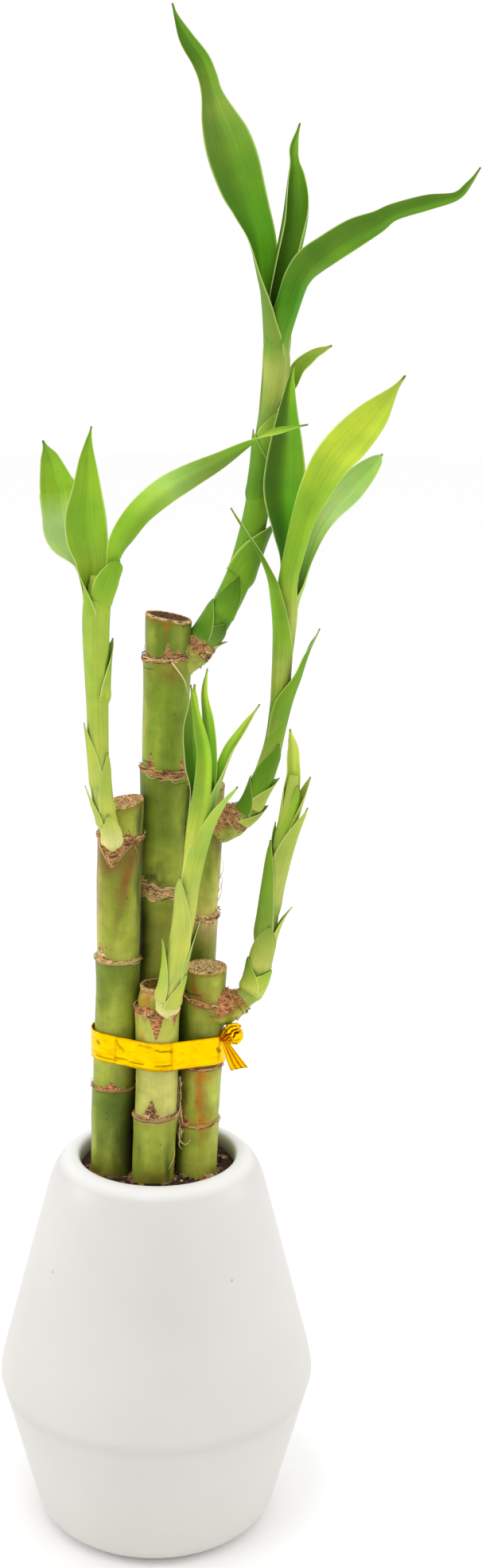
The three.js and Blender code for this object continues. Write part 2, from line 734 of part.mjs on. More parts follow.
// A cane from its foot in the soil to its cut, with a ridge at each node and a callus where its shoot grows
function cane({ radius, route, nodes, cut, callus }, extra = 0) {
  const levels = [{ height: CANE_FOOT - extra, swell: 0, fall: 0 }];
  for (const [at, fall] of nodes) {
    levels.push({ height: at - NODE_HALF_HEIGHT, swell: 0, fall });
    levels.push({ height: at, swell: NODE_RIDGE, fall });
    levels.push({ height: at + NODE_HALF_HEIGHT, swell: -NODE_RIDGE / 2, fall });
  }
  for (const place of route.slice(1, -1)) levels.push({ height: place[2], swell: 0, fall: 0 });
  levels.push({ height: cut[0] + extra, swell: 0, fall: cut[1] });
  levels.sort((low, high) => low.height - high.height);
  const size = radius + extra;
  const rings = levels.map(({ height, swell, fall }) => caneRing(route, height, size + swell, fall));
  let whole = skin(rings, false);
  if (callus.length) whole = whole.add(stalk(callus, CALLUS_SIDES, extra));
  return whole;
}

function caneHole({ radius, route, nodes }) {
  const lowestRidge = nodes[0][0] - NODE_HALF_HEIGHT;
  const wide = radius + CONTACT_GAP + (lowestRidge < SOIL_TOP + BARK_THICKNESS ? NODE_RIDGE : 0);
  const heights = [CANE_FOOT - CONTACT_GAP, ...route.map((place) => place[2]).filter((z) => z > CANE_FOOT)];
  return skin(heights.map((height) => caneRing(route, height, wide, 0)), false);
}

// A stem with its bracts and leaves in one piece, butted on its cane
function shoot({ on, stem, bracts, leaves }) {
  let whole = stalk(stem, STEM_SIDES);
  for (const one of bracts) whole = whole.add(bract(stem, one));
  for (const one of leaves) whole = whole.add(leaf(stem, one));
  return wholeBody(whole.subtract(cane(CANES[on], CONTACT_GAP)));
}

// The tight outline round all five canes, at a distance from them
function outline(distance) {
  const shape = [];
  for (let i = 0; i < RIBBON_SAMPLES; i++) {
    const bearing = (2 * Math.PI * i) / RIBBON_SAMPLES;
    const out = new THREE.Vector2(Math.cos(bearing), Math.sin(bearing));
    let farthest = null;
    for (const { radius, route } of Object.values(CANES)) {
      for (const end of [-1, 1]) {
        const centre = caneCentre(route, RIBBON_MIDDLE + (end * RIBBON_HEIGHT) / 2);
        const point = new THREE.Vector2(centre.x, centre.y).addScaledVector(out, radius + distance);
        if (!farthest || point.dot(out) > farthest.dot(out)) farthest = point;
      }
    }
    shape.push(farthest);
  }
  return shape.filter((point, i) => i === 0 || point.distanceTo(shape[i - 1]) > SHORTEST_STEP);
}

function ribbon() {
  const band = new THREE.Shape(outline(CONTACT_GAP + RIBBON_THICKNESS));
  band.holes.push(new THREE.Path(outline(CONTACT_GAP)));
  const geometry = new THREE.ExtrudeGeometry(band, { depth: RIBBON_HEIGHT, bevelEnabled: false });
  const position = geometry.attributes.position;
  for (let i = 0; i < position.count; i++) {
    position.setZ(i, position.getZ(i) + RIBBON_MIDDLE - RIBBON_HEIGHT / 2 - RIBBON_FALL * position.getX(i));
  }
  return solidFrom(geometry);
}

// Where the knot lies: against the outside of the ribbon, on the right cane
function knotCentre() {
  const { radius, route } = CANES.cane_d;
  const reach = radius + 2 * CONTACT_GAP + RIBBON_THICKNESS + KNOT_RADIUS;
  const bearing = radians(KNOT_BEARING);
  const centre = caneCentre(route, RIBBON_MIDDLE);
  return centre.add(new THREE.Vector3(reach * Math.cos(bearing), reach * Math.sin(bearing), KNOT_RISE));
}

// Crumpled foil: a ball with a creased surface
function knot() {
  const ball = new THREE.IcosahedronGeometry(KNOT_RADIUS, 1);
  const position = ball.attributes.position;
  const point = new THREE.Vector3();
  for (let i = 0; i < position.count; i++) {
    point.fromBufferAttribute(position, i);
    point.multiplyScalar(1 - KNOT_CREASE * Math.abs(Math.sin(2 * point.x + 3 * point.y + 4 * point.z)));
    position.setXYZ(i, ...point.toArray());
  }
  return solidFrom(ball.translate(...knotCentre().toArray()));
}

function tail() {
  const start = knotCentre();
  const places = TAIL.map(([x, y, z, ...shape]) => [start.x + x, start.y + y, start.z + z, ...shape]);
  return blade(places, TAIL_THICKNESS);
}

const plant = new THREE.Group();
plant.add(meshOf("vase", vase(), "#e6e4df", 0.5));
plant.add(meshOf("soil", soil(), "#3a2a22", 0.95));
for (const [name, values] of Object.entries(CANES)) plant.add(meshOf(name, cane(values), "#7d9a3a", 0.5));
for (const [name, values] of Object.entries(SHOOTS)) plant.add(meshOf(name, shoot(values), "#79b52c", 0.45));
plant.add(meshOf("ribbon", ribbon(), "#f0c010", 0.3, 0.8));
plant.add(meshOf("ribbon_knot", knot(), "#c8860a", 0.3, 0.8));
plant.add(meshOf("ribbon_tail", tail(), "#f0c010", 0.3, 0.8));

export default plant;
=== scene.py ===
# Lucky bamboo: five cut canes with a leafy shoot each, tied with a foil ribbon, in a two-cone ceramic vase.
# Pieces are shaped in millimetres and scaled to metres as they are finished. +Z is up, the front faces -Y,
# and the origin is the centre of the vase's base.

import math
import random

import bmesh
import bpy
from mathutils import Matrix, Vector, noise


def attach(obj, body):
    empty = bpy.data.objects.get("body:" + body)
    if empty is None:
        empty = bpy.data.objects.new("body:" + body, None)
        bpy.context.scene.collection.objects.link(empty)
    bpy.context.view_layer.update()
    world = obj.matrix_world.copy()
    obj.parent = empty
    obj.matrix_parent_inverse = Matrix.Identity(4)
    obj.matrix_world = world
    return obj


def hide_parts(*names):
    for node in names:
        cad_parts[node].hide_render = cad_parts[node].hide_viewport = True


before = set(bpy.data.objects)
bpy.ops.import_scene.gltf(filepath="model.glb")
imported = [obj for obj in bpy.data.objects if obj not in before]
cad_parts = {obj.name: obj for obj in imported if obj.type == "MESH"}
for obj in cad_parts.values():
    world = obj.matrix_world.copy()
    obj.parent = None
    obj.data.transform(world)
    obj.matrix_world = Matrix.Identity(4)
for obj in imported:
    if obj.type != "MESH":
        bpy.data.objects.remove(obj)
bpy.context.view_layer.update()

# Studio: a plain pale floor in even white light from all round, with a large soft lamp at each side and one
# above. The camera stands a little over the middle of the plant and looks down on the vase.
CAMERA_PLACE = (0, -0.6, 0.3944)
CAMERA_YAW = -2.36
CAMERA_PITCH = -14.08
CAMERA_ROLL = 0.81
LENS = 47.0
ROOM_LIGHT = 1.0
SIDE_LAMPS = [(-0.9, 0, 0.42, 1.4), (0.9, 0.05, 0.42, 1.3)]
TOP_LAMP = (-0.15, -0.4, 1.2, 1.6)
LAMP_SIZE = 0.3
LAMP_AIM = (0, 0, 0.2)
FLOOR_RADIUS = 4
FLOOR_STEPS = 64
FLOOR_DROP = 0.0002


def paint(red, green, blue):
    channels = [value / 255 for value in (red, green, blue)]
    linear = [c / 12.92 if c <= 0.04045 else ((c + 0.055) / 1.055) ** 2.4 for c in channels]
    return (*linear, 1)


def add_node(tree, kind, inputs=None, **settings):
    made = tree.nodes.new("ShaderNode" + kind)
    for name, value in settings.items():
        setattr(made, name, value)
    for socket, value in (inputs or {}).items():
        if isinstance(value, bpy.types.NodeSocket):
            tree.links.new(value, made.inputs[socket])
        else:
            made.inputs[socket].default_value = value
    return made


def new_finish(name, **settings):
    finish = bpy.data.materials.new(name)
    finish.use_nodes = True
    tree = finish.node_tree
    surface = tree.nodes["Principled BSDF"]
    for socket, value in settings.items():
        surface.inputs[socket.replace("_", " ")].default_value = value
    return finish, tree, surface


def mix(tree, share, first, second, way="MIX"):
    made = add_node(tree, "Mix", {0: share, 6: first, 7: second}, data_type="RGBA", blend_type=way)
    return made.outputs[2]


def object_place(tree):
    return add_node(tree, "TexCoord").outputs["Object"]


def grain(tree, where, scale, detail=2, roughness=0.5, distortion=0):
    sockets = {"Vector": where, "Scale": scale, "Detail": detail, "Roughness": roughness}
    return add_node(tree, "TexNoise", {**sockets, "Distortion": distortion}).outputs[0]


scene = bpy.context.scene
camera_data = bpy.data.cameras.new("camera")
camera_data.lens = LENS
camera = bpy.data.objects.new("camera", camera_data)
camera.rotation_mode = "QUATERNION"
camera.location = CAMERA_PLACE
turned = Matrix.Rotation(math.radians(CAMERA_YAW), 3, "Z")
tilted = Matrix.Rotation(math.radians(90 + CAMERA_PITCH), 3, "X")
rolled = Matrix.Rotation(math.radians(CAMERA_ROLL), 3, "Z")
camera.rotation_quaternion = (turned @ tilted @ rolled).to_quaternion()
scene.collection.objects.link(camera)
scene.camera = camera

world = bpy.data.worlds.new("room")
world.use_nodes = True
world.node_tree.nodes["Background"].inputs[0].default_value = (1, 1, 1, 1)
world.node_tree.nodes["Background"].inputs[1].default_value = ROOM_LIGHT
scene.world = world
scene.view_settings.view_transform = "Standard"

for number, (x, y, z, power) in enumerate([*SIDE_LAMPS, TOP_LAMP]):
    lamp_data = bpy.data.lights.new(f"lamp_{number}", "AREA")
    lamp_data.size = LAMP_SIZE
    lamp_data.energy = power
    lamp = bpy.data.objects.new(f"lamp_{number}", lamp_data)
    lamp.rotation_mode = "QUATERNION"
    lamp.location = (x, y, z)
    lamp.rotation_quaternion = (Vector(LAMP_AIM) - lamp.location).to_track_quat("-Z", "Y")
    scene.collection.objects.link(lamp)

floor_mesh = bmesh.new()
bmesh.ops.create_circle(floor_mesh, cap_ends=True, segments=FLOOR_STEPS, radius=FLOOR_RADIUS)
bmesh.ops.translate(floor_mesh, vec=(0, 0, -FLOOR_DROP), verts=floor_mesh.verts)
floor_data = bpy.data.meshes.new("floor")
floor_mesh.to_mesh(floor_data)
floor_mesh.free()
floor = bpy.data.objects.new("floor", floor_data)
floor_finish, floor_tree, floor_surface = new_finish("pale_floor", Roughness=0.7, Specular_IOR_Level=0.2)
floor_grain = grain(floor_tree, object_place(floor_tree), 90, 3)
floor_shade = mix(floor_tree, floor_grain, paint(253, 253, 253), paint(255, 255, 255))
floor_tree.links.new(floor_shade, floor_surface.inputs["Base Color"])
floor_data.materials.append(floor_finish)
scene.collection.objects.link(floor)

# Vase: white stoneware slip-cast in one piece. Two cones meet at a soft ring, the lip is thick and rounded,
# the foot is flat, and a satin glaze covers it with a few pinholes.
VASE_HEIGHT = 124
BASE_RADIUS = 37
BASE_ROUNDING = 8
RING_RADIUS = 50.5
RING_HEIGHT = 51
RING_ROUNDING = 8
RING_TURN = 1.4
SHOULDER_RADIUS = 31.7
LIP_ROUNDING = 11
LIP_CREST_RADIUS = 25.8
MOUTH_RADIUS = 24.3
MOUTH_DEPTH = 6
WALL = 4.6
BASE_THICKNESS = 6
FOOT_STEPS = 10
RING_STEPS = 10
LIP_STEPS = 14
MOUTH_STEPS = 8
VASE_STEPS = 144
MILLIMETRE = 0.001
GROOVE_HEIGHT = 47.4
GROOVE_WIDTH = 1.1
GROOVE_DEPTH = 0.16
GROOVE_STEPS = 12
JOIN_GAP = 0.2
# The glaze's colours by height, as shares of the height where the ramp ends. The darker band at the groove
# under the ring is painted shade, and the bright band on the lip's crest is a painted highlight.
GLAZE_RAMP_TOP = 0.125
GLAZE_TONES_AND_PAINTED_LIGHT = [(0.0, (208, 205, 199)), (0.35, (207, 204, 199)), (0.38, (202, 198, 193)),
               (0.41, (208, 205, 200)), (0.968, (209, 206, 202)), (0.987, (235, 234, 232))]
PINHOLE = (180, 175, 168)
GLAZE_COAT = {"Coat_Weight": 0.15, "Coat_Roughness": 0.3}


def times(tree, first, second):
    return mix(tree, 1.0, first, second, "MULTIPLY")


def ramp(tree, value, stops):
    made = add_node(tree, "ValToRGB", {0: value})
    for place, _ in stops[2:]:
        made.color_ramp.elements.new(place)
    for element, (place, shade) in zip(made.color_ramp.elements, sorted(stops)):
        element.position = place
        element.color = shade if isinstance(shade, tuple) else (shade, shade, shade, 1)
    return made.outputs[0]


def relief(tree, surface, height, strength, distance):
    bump = add_node(tree, "Bump", {"Height": height, "Strength": strength, "Distance": distance})
    tree.links.new(bump.outputs[0], surface.inputs["Normal"])


def bell(offset, width):
    return math.exp(-((offset / width) ** 2))


def rounded(start, corner, end, steps):
    curve = []
    for i in range(steps + 1):
        t = i / steps
        first, second, third = (1 - t) ** 2, 2 * t * (1 - t), t * t
        curve.append([first * a + second * b + third * c for a, b, c in zip(start, corner, end)])
    return curve


def lathe(mesh, profile, steps):
    corners = [mesh.verts.new((radius, 0, height)) for radius, height in profile]
    edges = [mesh.edges.new(pair) for pair in zip(corners, corners[1:])]
    turn = {"axis": (0, 0, 1), "cent": (0, 0, 0), "angle": math.tau, "steps": steps, "use_merge": True}
    bmesh.ops.spin(mesh, geom=corners + edges, **turn)
    bmesh.ops.remove_doubles(mesh, verts=mesh.verts, dist=1e-4)
    bmesh.ops.recalc_face_normals(mesh, faces=mesh.faces)


def finished(mesh, name, finish, slot, *nodes):
    bmesh.ops.scale(mesh, vec=(MILLIMETRE,) * 3, verts=mesh.verts)
    for face in mesh.faces:
        face.smooth = True
    data = bpy.data.meshes.new(name)
    mesh.to_mesh(data)
    mesh.free()
    data.materials.append(finish)
    piece = bpy.data.objects.new(name, data)
    scene.collection.objects.link(piece)
    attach(piece, "root")
    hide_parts(*nodes)


lower_lean = (RING_RADIUS - BASE_RADIUS) / RING_HEIGHT
upper_lean = (RING_RADIUS - SHOULDER_RADIUS) / (VASE_HEIGHT - RING_HEIGHT)
neck_height = VASE_HEIGHT - MOUTH_DEPTH
flared_height = neck_height - 2 * MOUTH_DEPTH
flared_radius = SHOULDER_RADIUS + upper_lean * (VASE_HEIGHT - flared_height) - WALL
groove = []
for i in range(GROOVE_STEPS + 1):
    height = GROOVE_HEIGHT + GROOVE_WIDTH * (4 * i / GROOVE_STEPS - 2)
    hollow = GROOVE_DEPTH * bell(height - GROOVE_HEIGHT, GROOVE_WIDTH)
    groove.append((BASE_RADIUS + lower_lean * height - hollow, height))
foot_end = (BASE_RADIUS + lower_lean * BASE_ROUNDING, BASE_ROUNDING)
ring_low = (RING_RADIUS - lower_lean * RING_TURN, RING_HEIGHT - RING_TURN)
ring_high = (RING_RADIUS - upper_lean * RING_ROUNDING, RING_HEIGHT + RING_ROUNDING)
lip_start = (SHOULDER_RADIUS + upper_lean * LIP_ROUNDING, VASE_HEIGHT - LIP_ROUNDING)
lip_crest = (LIP_CREST_RADIUS, VASE_HEIGHT)
lip_end = (MOUTH_RADIUS, VASE_HEIGHT - MOUTH_DEPTH / 2)
vase_profile = [
    (0, 0),
    (BASE_RADIUS - 2 * BASE_ROUNDING, 0),
    *rounded((BASE_RADIUS - BASE_ROUNDING, 0), (BASE_RADIUS, 0), foot_end, FOOT_STEPS),
    *[place for place in groove if place[1] < RING_HEIGHT - RING_TURN - JOIN_GAP],
    *rounded(ring_low, (RING_RADIUS, RING_HEIGHT), ring_high, RING_STEPS),
    *rounded(lip_start, (SHOULDER_RADIUS, VASE_HEIGHT), lip_crest, LIP_STEPS),
    *rounded(lip_crest, (MOUTH_RADIUS, VASE_HEIGHT), lip_end, MOUTH_STEPS)[1:],
    (MOUTH_RADIUS, neck_height),
    (flared_radius, flared_height),
    (RING_RADIUS - WALL, RING_HEIGHT),
    (BASE_RADIUS - WALL, BASE_THICKNESS),
    (0, BASE_THICKNESS),
]
vase_mesh = bmesh.new()
lathe(vase_mesh, vase_profile, VASE_STEPS)

glaze, glaze_tree, glaze_surface = new_finish("white_glaze", Roughness=0.42, **GLAZE_COAT)
glaze_where = object_place(glaze_tree)
glaze_height = add_node(glaze_tree, "SeparateXYZ", {0: glaze_where}).outputs[2]
glaze_ratio = {0: glaze_height, 1: 1 / GLAZE_RAMP_TOP}
glaze_level = add_node(glaze_tree, "Math", glaze_ratio, operation="MULTIPLY").outputs[0]
# Glaze tone by height, with painted shade at the groove and a painted highlight on the lip's crest.
glaze_tones_and_painted_light = ramp(glaze_tree, glaze_level, [(level, paint(*shade)) for level, shade in GLAZE_TONES_AND_PAINTED_LIGHT])
glaze_mottle = ramp(glaze_tree, grain(glaze_tree, glaze_where, 28, 3), [(0.35, 0.98), (0.7, 1.02)])
pinholes = add_node(glaze_tree, "TexVoronoi", {"Vector": glaze_where, "Scale": 130.0, "Randomness": 1.0})
pinhole_rarity = ramp(glaze_tree, grain(glaze_tree, glaze_where, 170, 0), [(0.7, 0), (0.72, 1)])
pinhole_spot = ramp(glaze_tree, pinholes.outputs["Distance"], [(0.06, 1), (0.1, 0)])
pinhole_share = times(glaze_tree, pinhole_spot, pinhole_rarity)
glaze_cloud = times(glaze_tree, glaze_tones_and_painted_light, glaze_mottle)
glaze_shade = mix(glaze_tree, pinhole_share, glaze_cloud, paint(*PINHOLE))
glaze_tree.links.new(glaze_shade, glaze_surface.inputs["Base Color"])
relief(glaze_tree, glaze_surface, grain(glaze_tree, glaze_where, 60, 4), 0.12, 0.0008)
finished(vase_mesh, "vase_glazed", glaze, "vase_ceramic", "vase")

# Soil: moist dark potting mix that fills the vase to just under the lip, with crumbs and chips of bark on
# top. The canes stand in it.
SOIL_TOP = 120
SOIL_GAP = 0.4
SOIL_ROUGHNESS = 0.75
SOIL_SINK = 0.5
SOIL_EDGE_DROP = 0.8
SOIL_RINGS = 40
SOIL_STEPS = 96
PALE_RING = 1.1
SOIL_PALE = (150, 112, 76)
SOIL_DARK = (58, 42, 32)
CRUMB_TONES = [(78, 54, 40), (48, 37, 31), (118, 76, 54), (150, 100, 72), (186, 142, 106), (42, 33, 28)]
CHIP_WEAR = 0.22
CRUMBS = 170
CHIPS = 34
SOIL_SEED = 5
LITTER = 22
# Where each cane stands in the soil: x, y and radius.
CANE_FEET = [(-14.3, -2.3, 6.8), (-1.5, 5.9, 7.1), (-1.5, -8.8, 6.6), (12.1, -3.3, 6.5), (10.3, 13.9, 6.5)]

chance = random.Random(SOIL_SEED)


def ripple(*place):
    return noise.noise(Vector(place))


def soil_height(x, y):
    lumps = ripple(x / 5, y / 5, 0.3)
    crumbs = ripple(x / 1.6, y / 1.6, 4.1)
    return SOIL_TOP - SOIL_SINK + SOIL_ROUGHNESS * (0.9 * lumps + 0.5 * crumbs)


soil_mesh = bmesh.new()
soil_tone = soil_mesh.verts.layers.float_color.new("tone")
soil_edge = MOUTH_RADIUS - SOIL_GAP
soil_profile = [
    (0, BASE_THICKNESS + SOIL_GAP),
    (BASE_RADIUS - WALL - SOIL_GAP, BASE_THICKNESS + SOIL_GAP),
    (RING_RADIUS - WALL - SOIL_GAP, RING_HEIGHT),
    (flared_radius - SOIL_GAP, flared_height - SOIL_GAP / 2),
    (soil_edge, neck_height - SOIL_GAP / 2),
    (soil_edge, SOIL_TOP - SOIL_EDGE_DROP),
    *[(soil_edge * (1 - i / SOIL_RINGS), SOIL_TOP) for i in range(1, SOIL_RINGS + 1)],
]
lathe(soil_mesh, soil_profile, SOIL_STEPS)
for corner in soil_mesh.verts:
    if corner.co.z > SOIL_TOP - SOIL_SINK:
        corner.co.z = soil_height(corner.co.x, corner.co.y)
    gap = min(math.hypot(corner.co.x - x, corner.co.y - y) - radius for x, y, radius in CANE_FEET)
    corner[soil_tone] = paint(*(SOIL_PALE if gap < PALE_RING else SOIL_DARK))


def anywhere():
    bearing = chance.uniform(0, math.tau)
    reach = (soil_edge - 1.6) * math.sqrt(chance.uniform(0.02, 1))
    return reach * math.cos(bearing), reach * math.sin(bearing)


def beside_cane():
    x, y, radius = chance.choice(CANE_FEET)
    bearing = chance.uniform(0, math.tau)
    reach = radius + chance.uniform(0.1, 1.2)
    x += reach * math.cos(bearing)
    y += reach * math.sin(bearing)
    return (x, y) if math.hypot(x, y) < soil_edge - 1 else anywhere()


def scatter(count, make, spot):
    for _ in range(count):
        x, y = spot()
        made = make()
        spun = Matrix.Rotation(chance.uniform(0, math.tau), 3, "Z")
        tipped = Matrix.Rotation(chance.uniform(-0.5, 0.5), 3, "X")
        bmesh.ops.rotate(soil_mesh, verts=made, cent=(0, 0, 0), matrix=spun @ tipped)
        bmesh.ops.translate(soil_mesh, verts=made, vec=(x, y, soil_height(x, y)))
        shade = paint(*chance.choice(CRUMB_TONES))
        for corner in made:
            corner[soil_tone] = shade


def crumb():
    ball = bmesh.ops.create_icosphere(soil_mesh, subdivisions=1, radius=chance.uniform(0.35, 0.95))["verts"]
    squash = (1, chance.uniform(0.6, 1), chance.uniform(0.5, 0.9))
    bmesh.ops.scale(soil_mesh, vec=squash, verts=ball)
    for corner in ball:
        corner.co *= chance.uniform(0.8, 1.15)
    return ball


def chip():
    block = bmesh.ops.create_cube(soil_mesh, size=1)["verts"]
    size = (chance.uniform(2.2, 5.5), chance.uniform(1.2, 2.6), chance.uniform(0.5, 0.9))
    bmesh.ops.scale(soil_mesh, vec=size, verts=block)
    edges = list({edge for corner in block for edge in corner.link_edges})
    worn = {"offset": CHIP_WEAR, "offset_type": "OFFSET", "segments": 2, "profile": 0.5, "affect": "EDGES"}
    return bmesh.ops.bevel(soil_mesh, geom=edges, material=-1, **worn)["verts"]


def painted(tree, name, socket=0):
    return add_node(tree, "Attribute", attribute_name=name).outputs[socket]


scatter(CRUMBS, crumb, anywhere)
scatter(CHIPS, chip, anywhere)
scatter(LITTER * len(CANE_FEET), crumb, beside_cane)
bmesh.ops.recalc_face_normals(soil_mesh, faces=soil_mesh.faces)

mould, mould_tree, mould_surface = new_finish("potting_mix", Roughness=0.92, Specular_IOR_Level=0.3)
mould_where = object_place(mould_tree)
mould_grit = grain(mould_tree, mould_where, 900, 4, 0.7)
mould_speck = ramp(mould_tree, mould_grit, [(0.42, 0.45), (0.5, 1), (0.62, 1.9)])
mould_shade = times(mould_tree, painted(mould_tree, "tone"), mould_speck)
mould_tree.links.new(mould_shade, mould_surface.inputs["Base Color"])
relief(mould_tree, mould_surface, grain(mould_tree, mould_where, 1400, 5, 0.7), 0.8, 0.0006)
finished(soil_mesh, "soil_bed", mould, "potting_soil", "soil")

# Canes: cut lengths of living cane, pushed down in the soil. Each is smooth and waxy between its nodes,
# with a thin brown lip and papery scraps at each node, a dried pithy cut at the top, and a scaly callus
# where its shoot broke out.
CANE_FOOT = 30
CANE_COLUMNS = 96
CANE_STEP = 1
NODE_STEP = 0.2
NODE_REACH = 2.6
NODE_LIP = 0.34
NODE_CREST = 0.36
# Where the dark lines under and over a node's lip lie, and their half-width: the crevice's brown and painted
# shade in it.
CREVICE_BELOW = 0.62
CREVICE_ABOVE = 0.6
CREVICE_HALF = 0.24
BURIED_LEVELS = (CANE_FOOT, 90, 112)
FINE_START = 114
CUT_ROUNDING = 0.3
CUT_HOLLOW = 0.45
CANE_MAP_LENGTH = 42
CUT_LEVELS = (1.3, 1, 0.7, 0.45, 0.25, 0.1, 0)
CUT_RINGS = (0.96, 0.9, 0.8, 0.65, 0.5, 0.35, 0.2, 0)
CALLUS_COLUMNS = 56
CALLUS_STEPS = 12
CALLUS_MAP_LENGTH = 26
FIBRE_COLUMNS = 5

# SHADE paints shade along the canes' darker sides, over their own dark green.
SHADE = (46, 50, 18)
PINE = (78, 96, 30)
MOSS = (106, 124, 38)
OLIVE = (130, 134, 46)
GLADE = (126, 148, 42)
FERN = (146, 156, 52)
LIME = (174, 180, 74)
LEMON = (196, 190, 92)
HUSK = (186, 184, 96)
EARTH = (106, 86, 34)
RUST = (136, 84, 36)
AMBER = (184, 108, 16)
BUFF = (208, 172, 120)
BARK = (176, 134, 88)
CLAY = (186, 128, 84)
COCOA = (104, 70, 46)
SAND = (184, 160, 106)
STRAW = (222, 198, 146)
FIBRE_TONES = [STRAW, STRAW, BUFF, BARK, COCOA]
TANGLE = 9
TUFT = 12
FRAY = 22
FRAY_REACH = (0.45, 0.95)
THICK_FIBRE = 0.25
TORN_SEED = 11
FOLD_SHADES = [(0.36, (0.42, 0.34, 0.28, 1)), (0.46, (0.9, 0.86, 0.82, 1)), (0.54, (1.1, 1.08, 1.02, 1)),
               (0.64, (1.42, 1.4, 1.36, 1))]
PITH_SHADES = [(0.38, (0.2, 0.13, 0.09, 1)), (0.47, (0.6, 0.48, 0.38, 1)), (0.56, (1.15, 1.08, 1, 1)),
               (0.64, (1.5, 1.4, 1.3, 1))]

torn = random.Random(TORN_SEED)
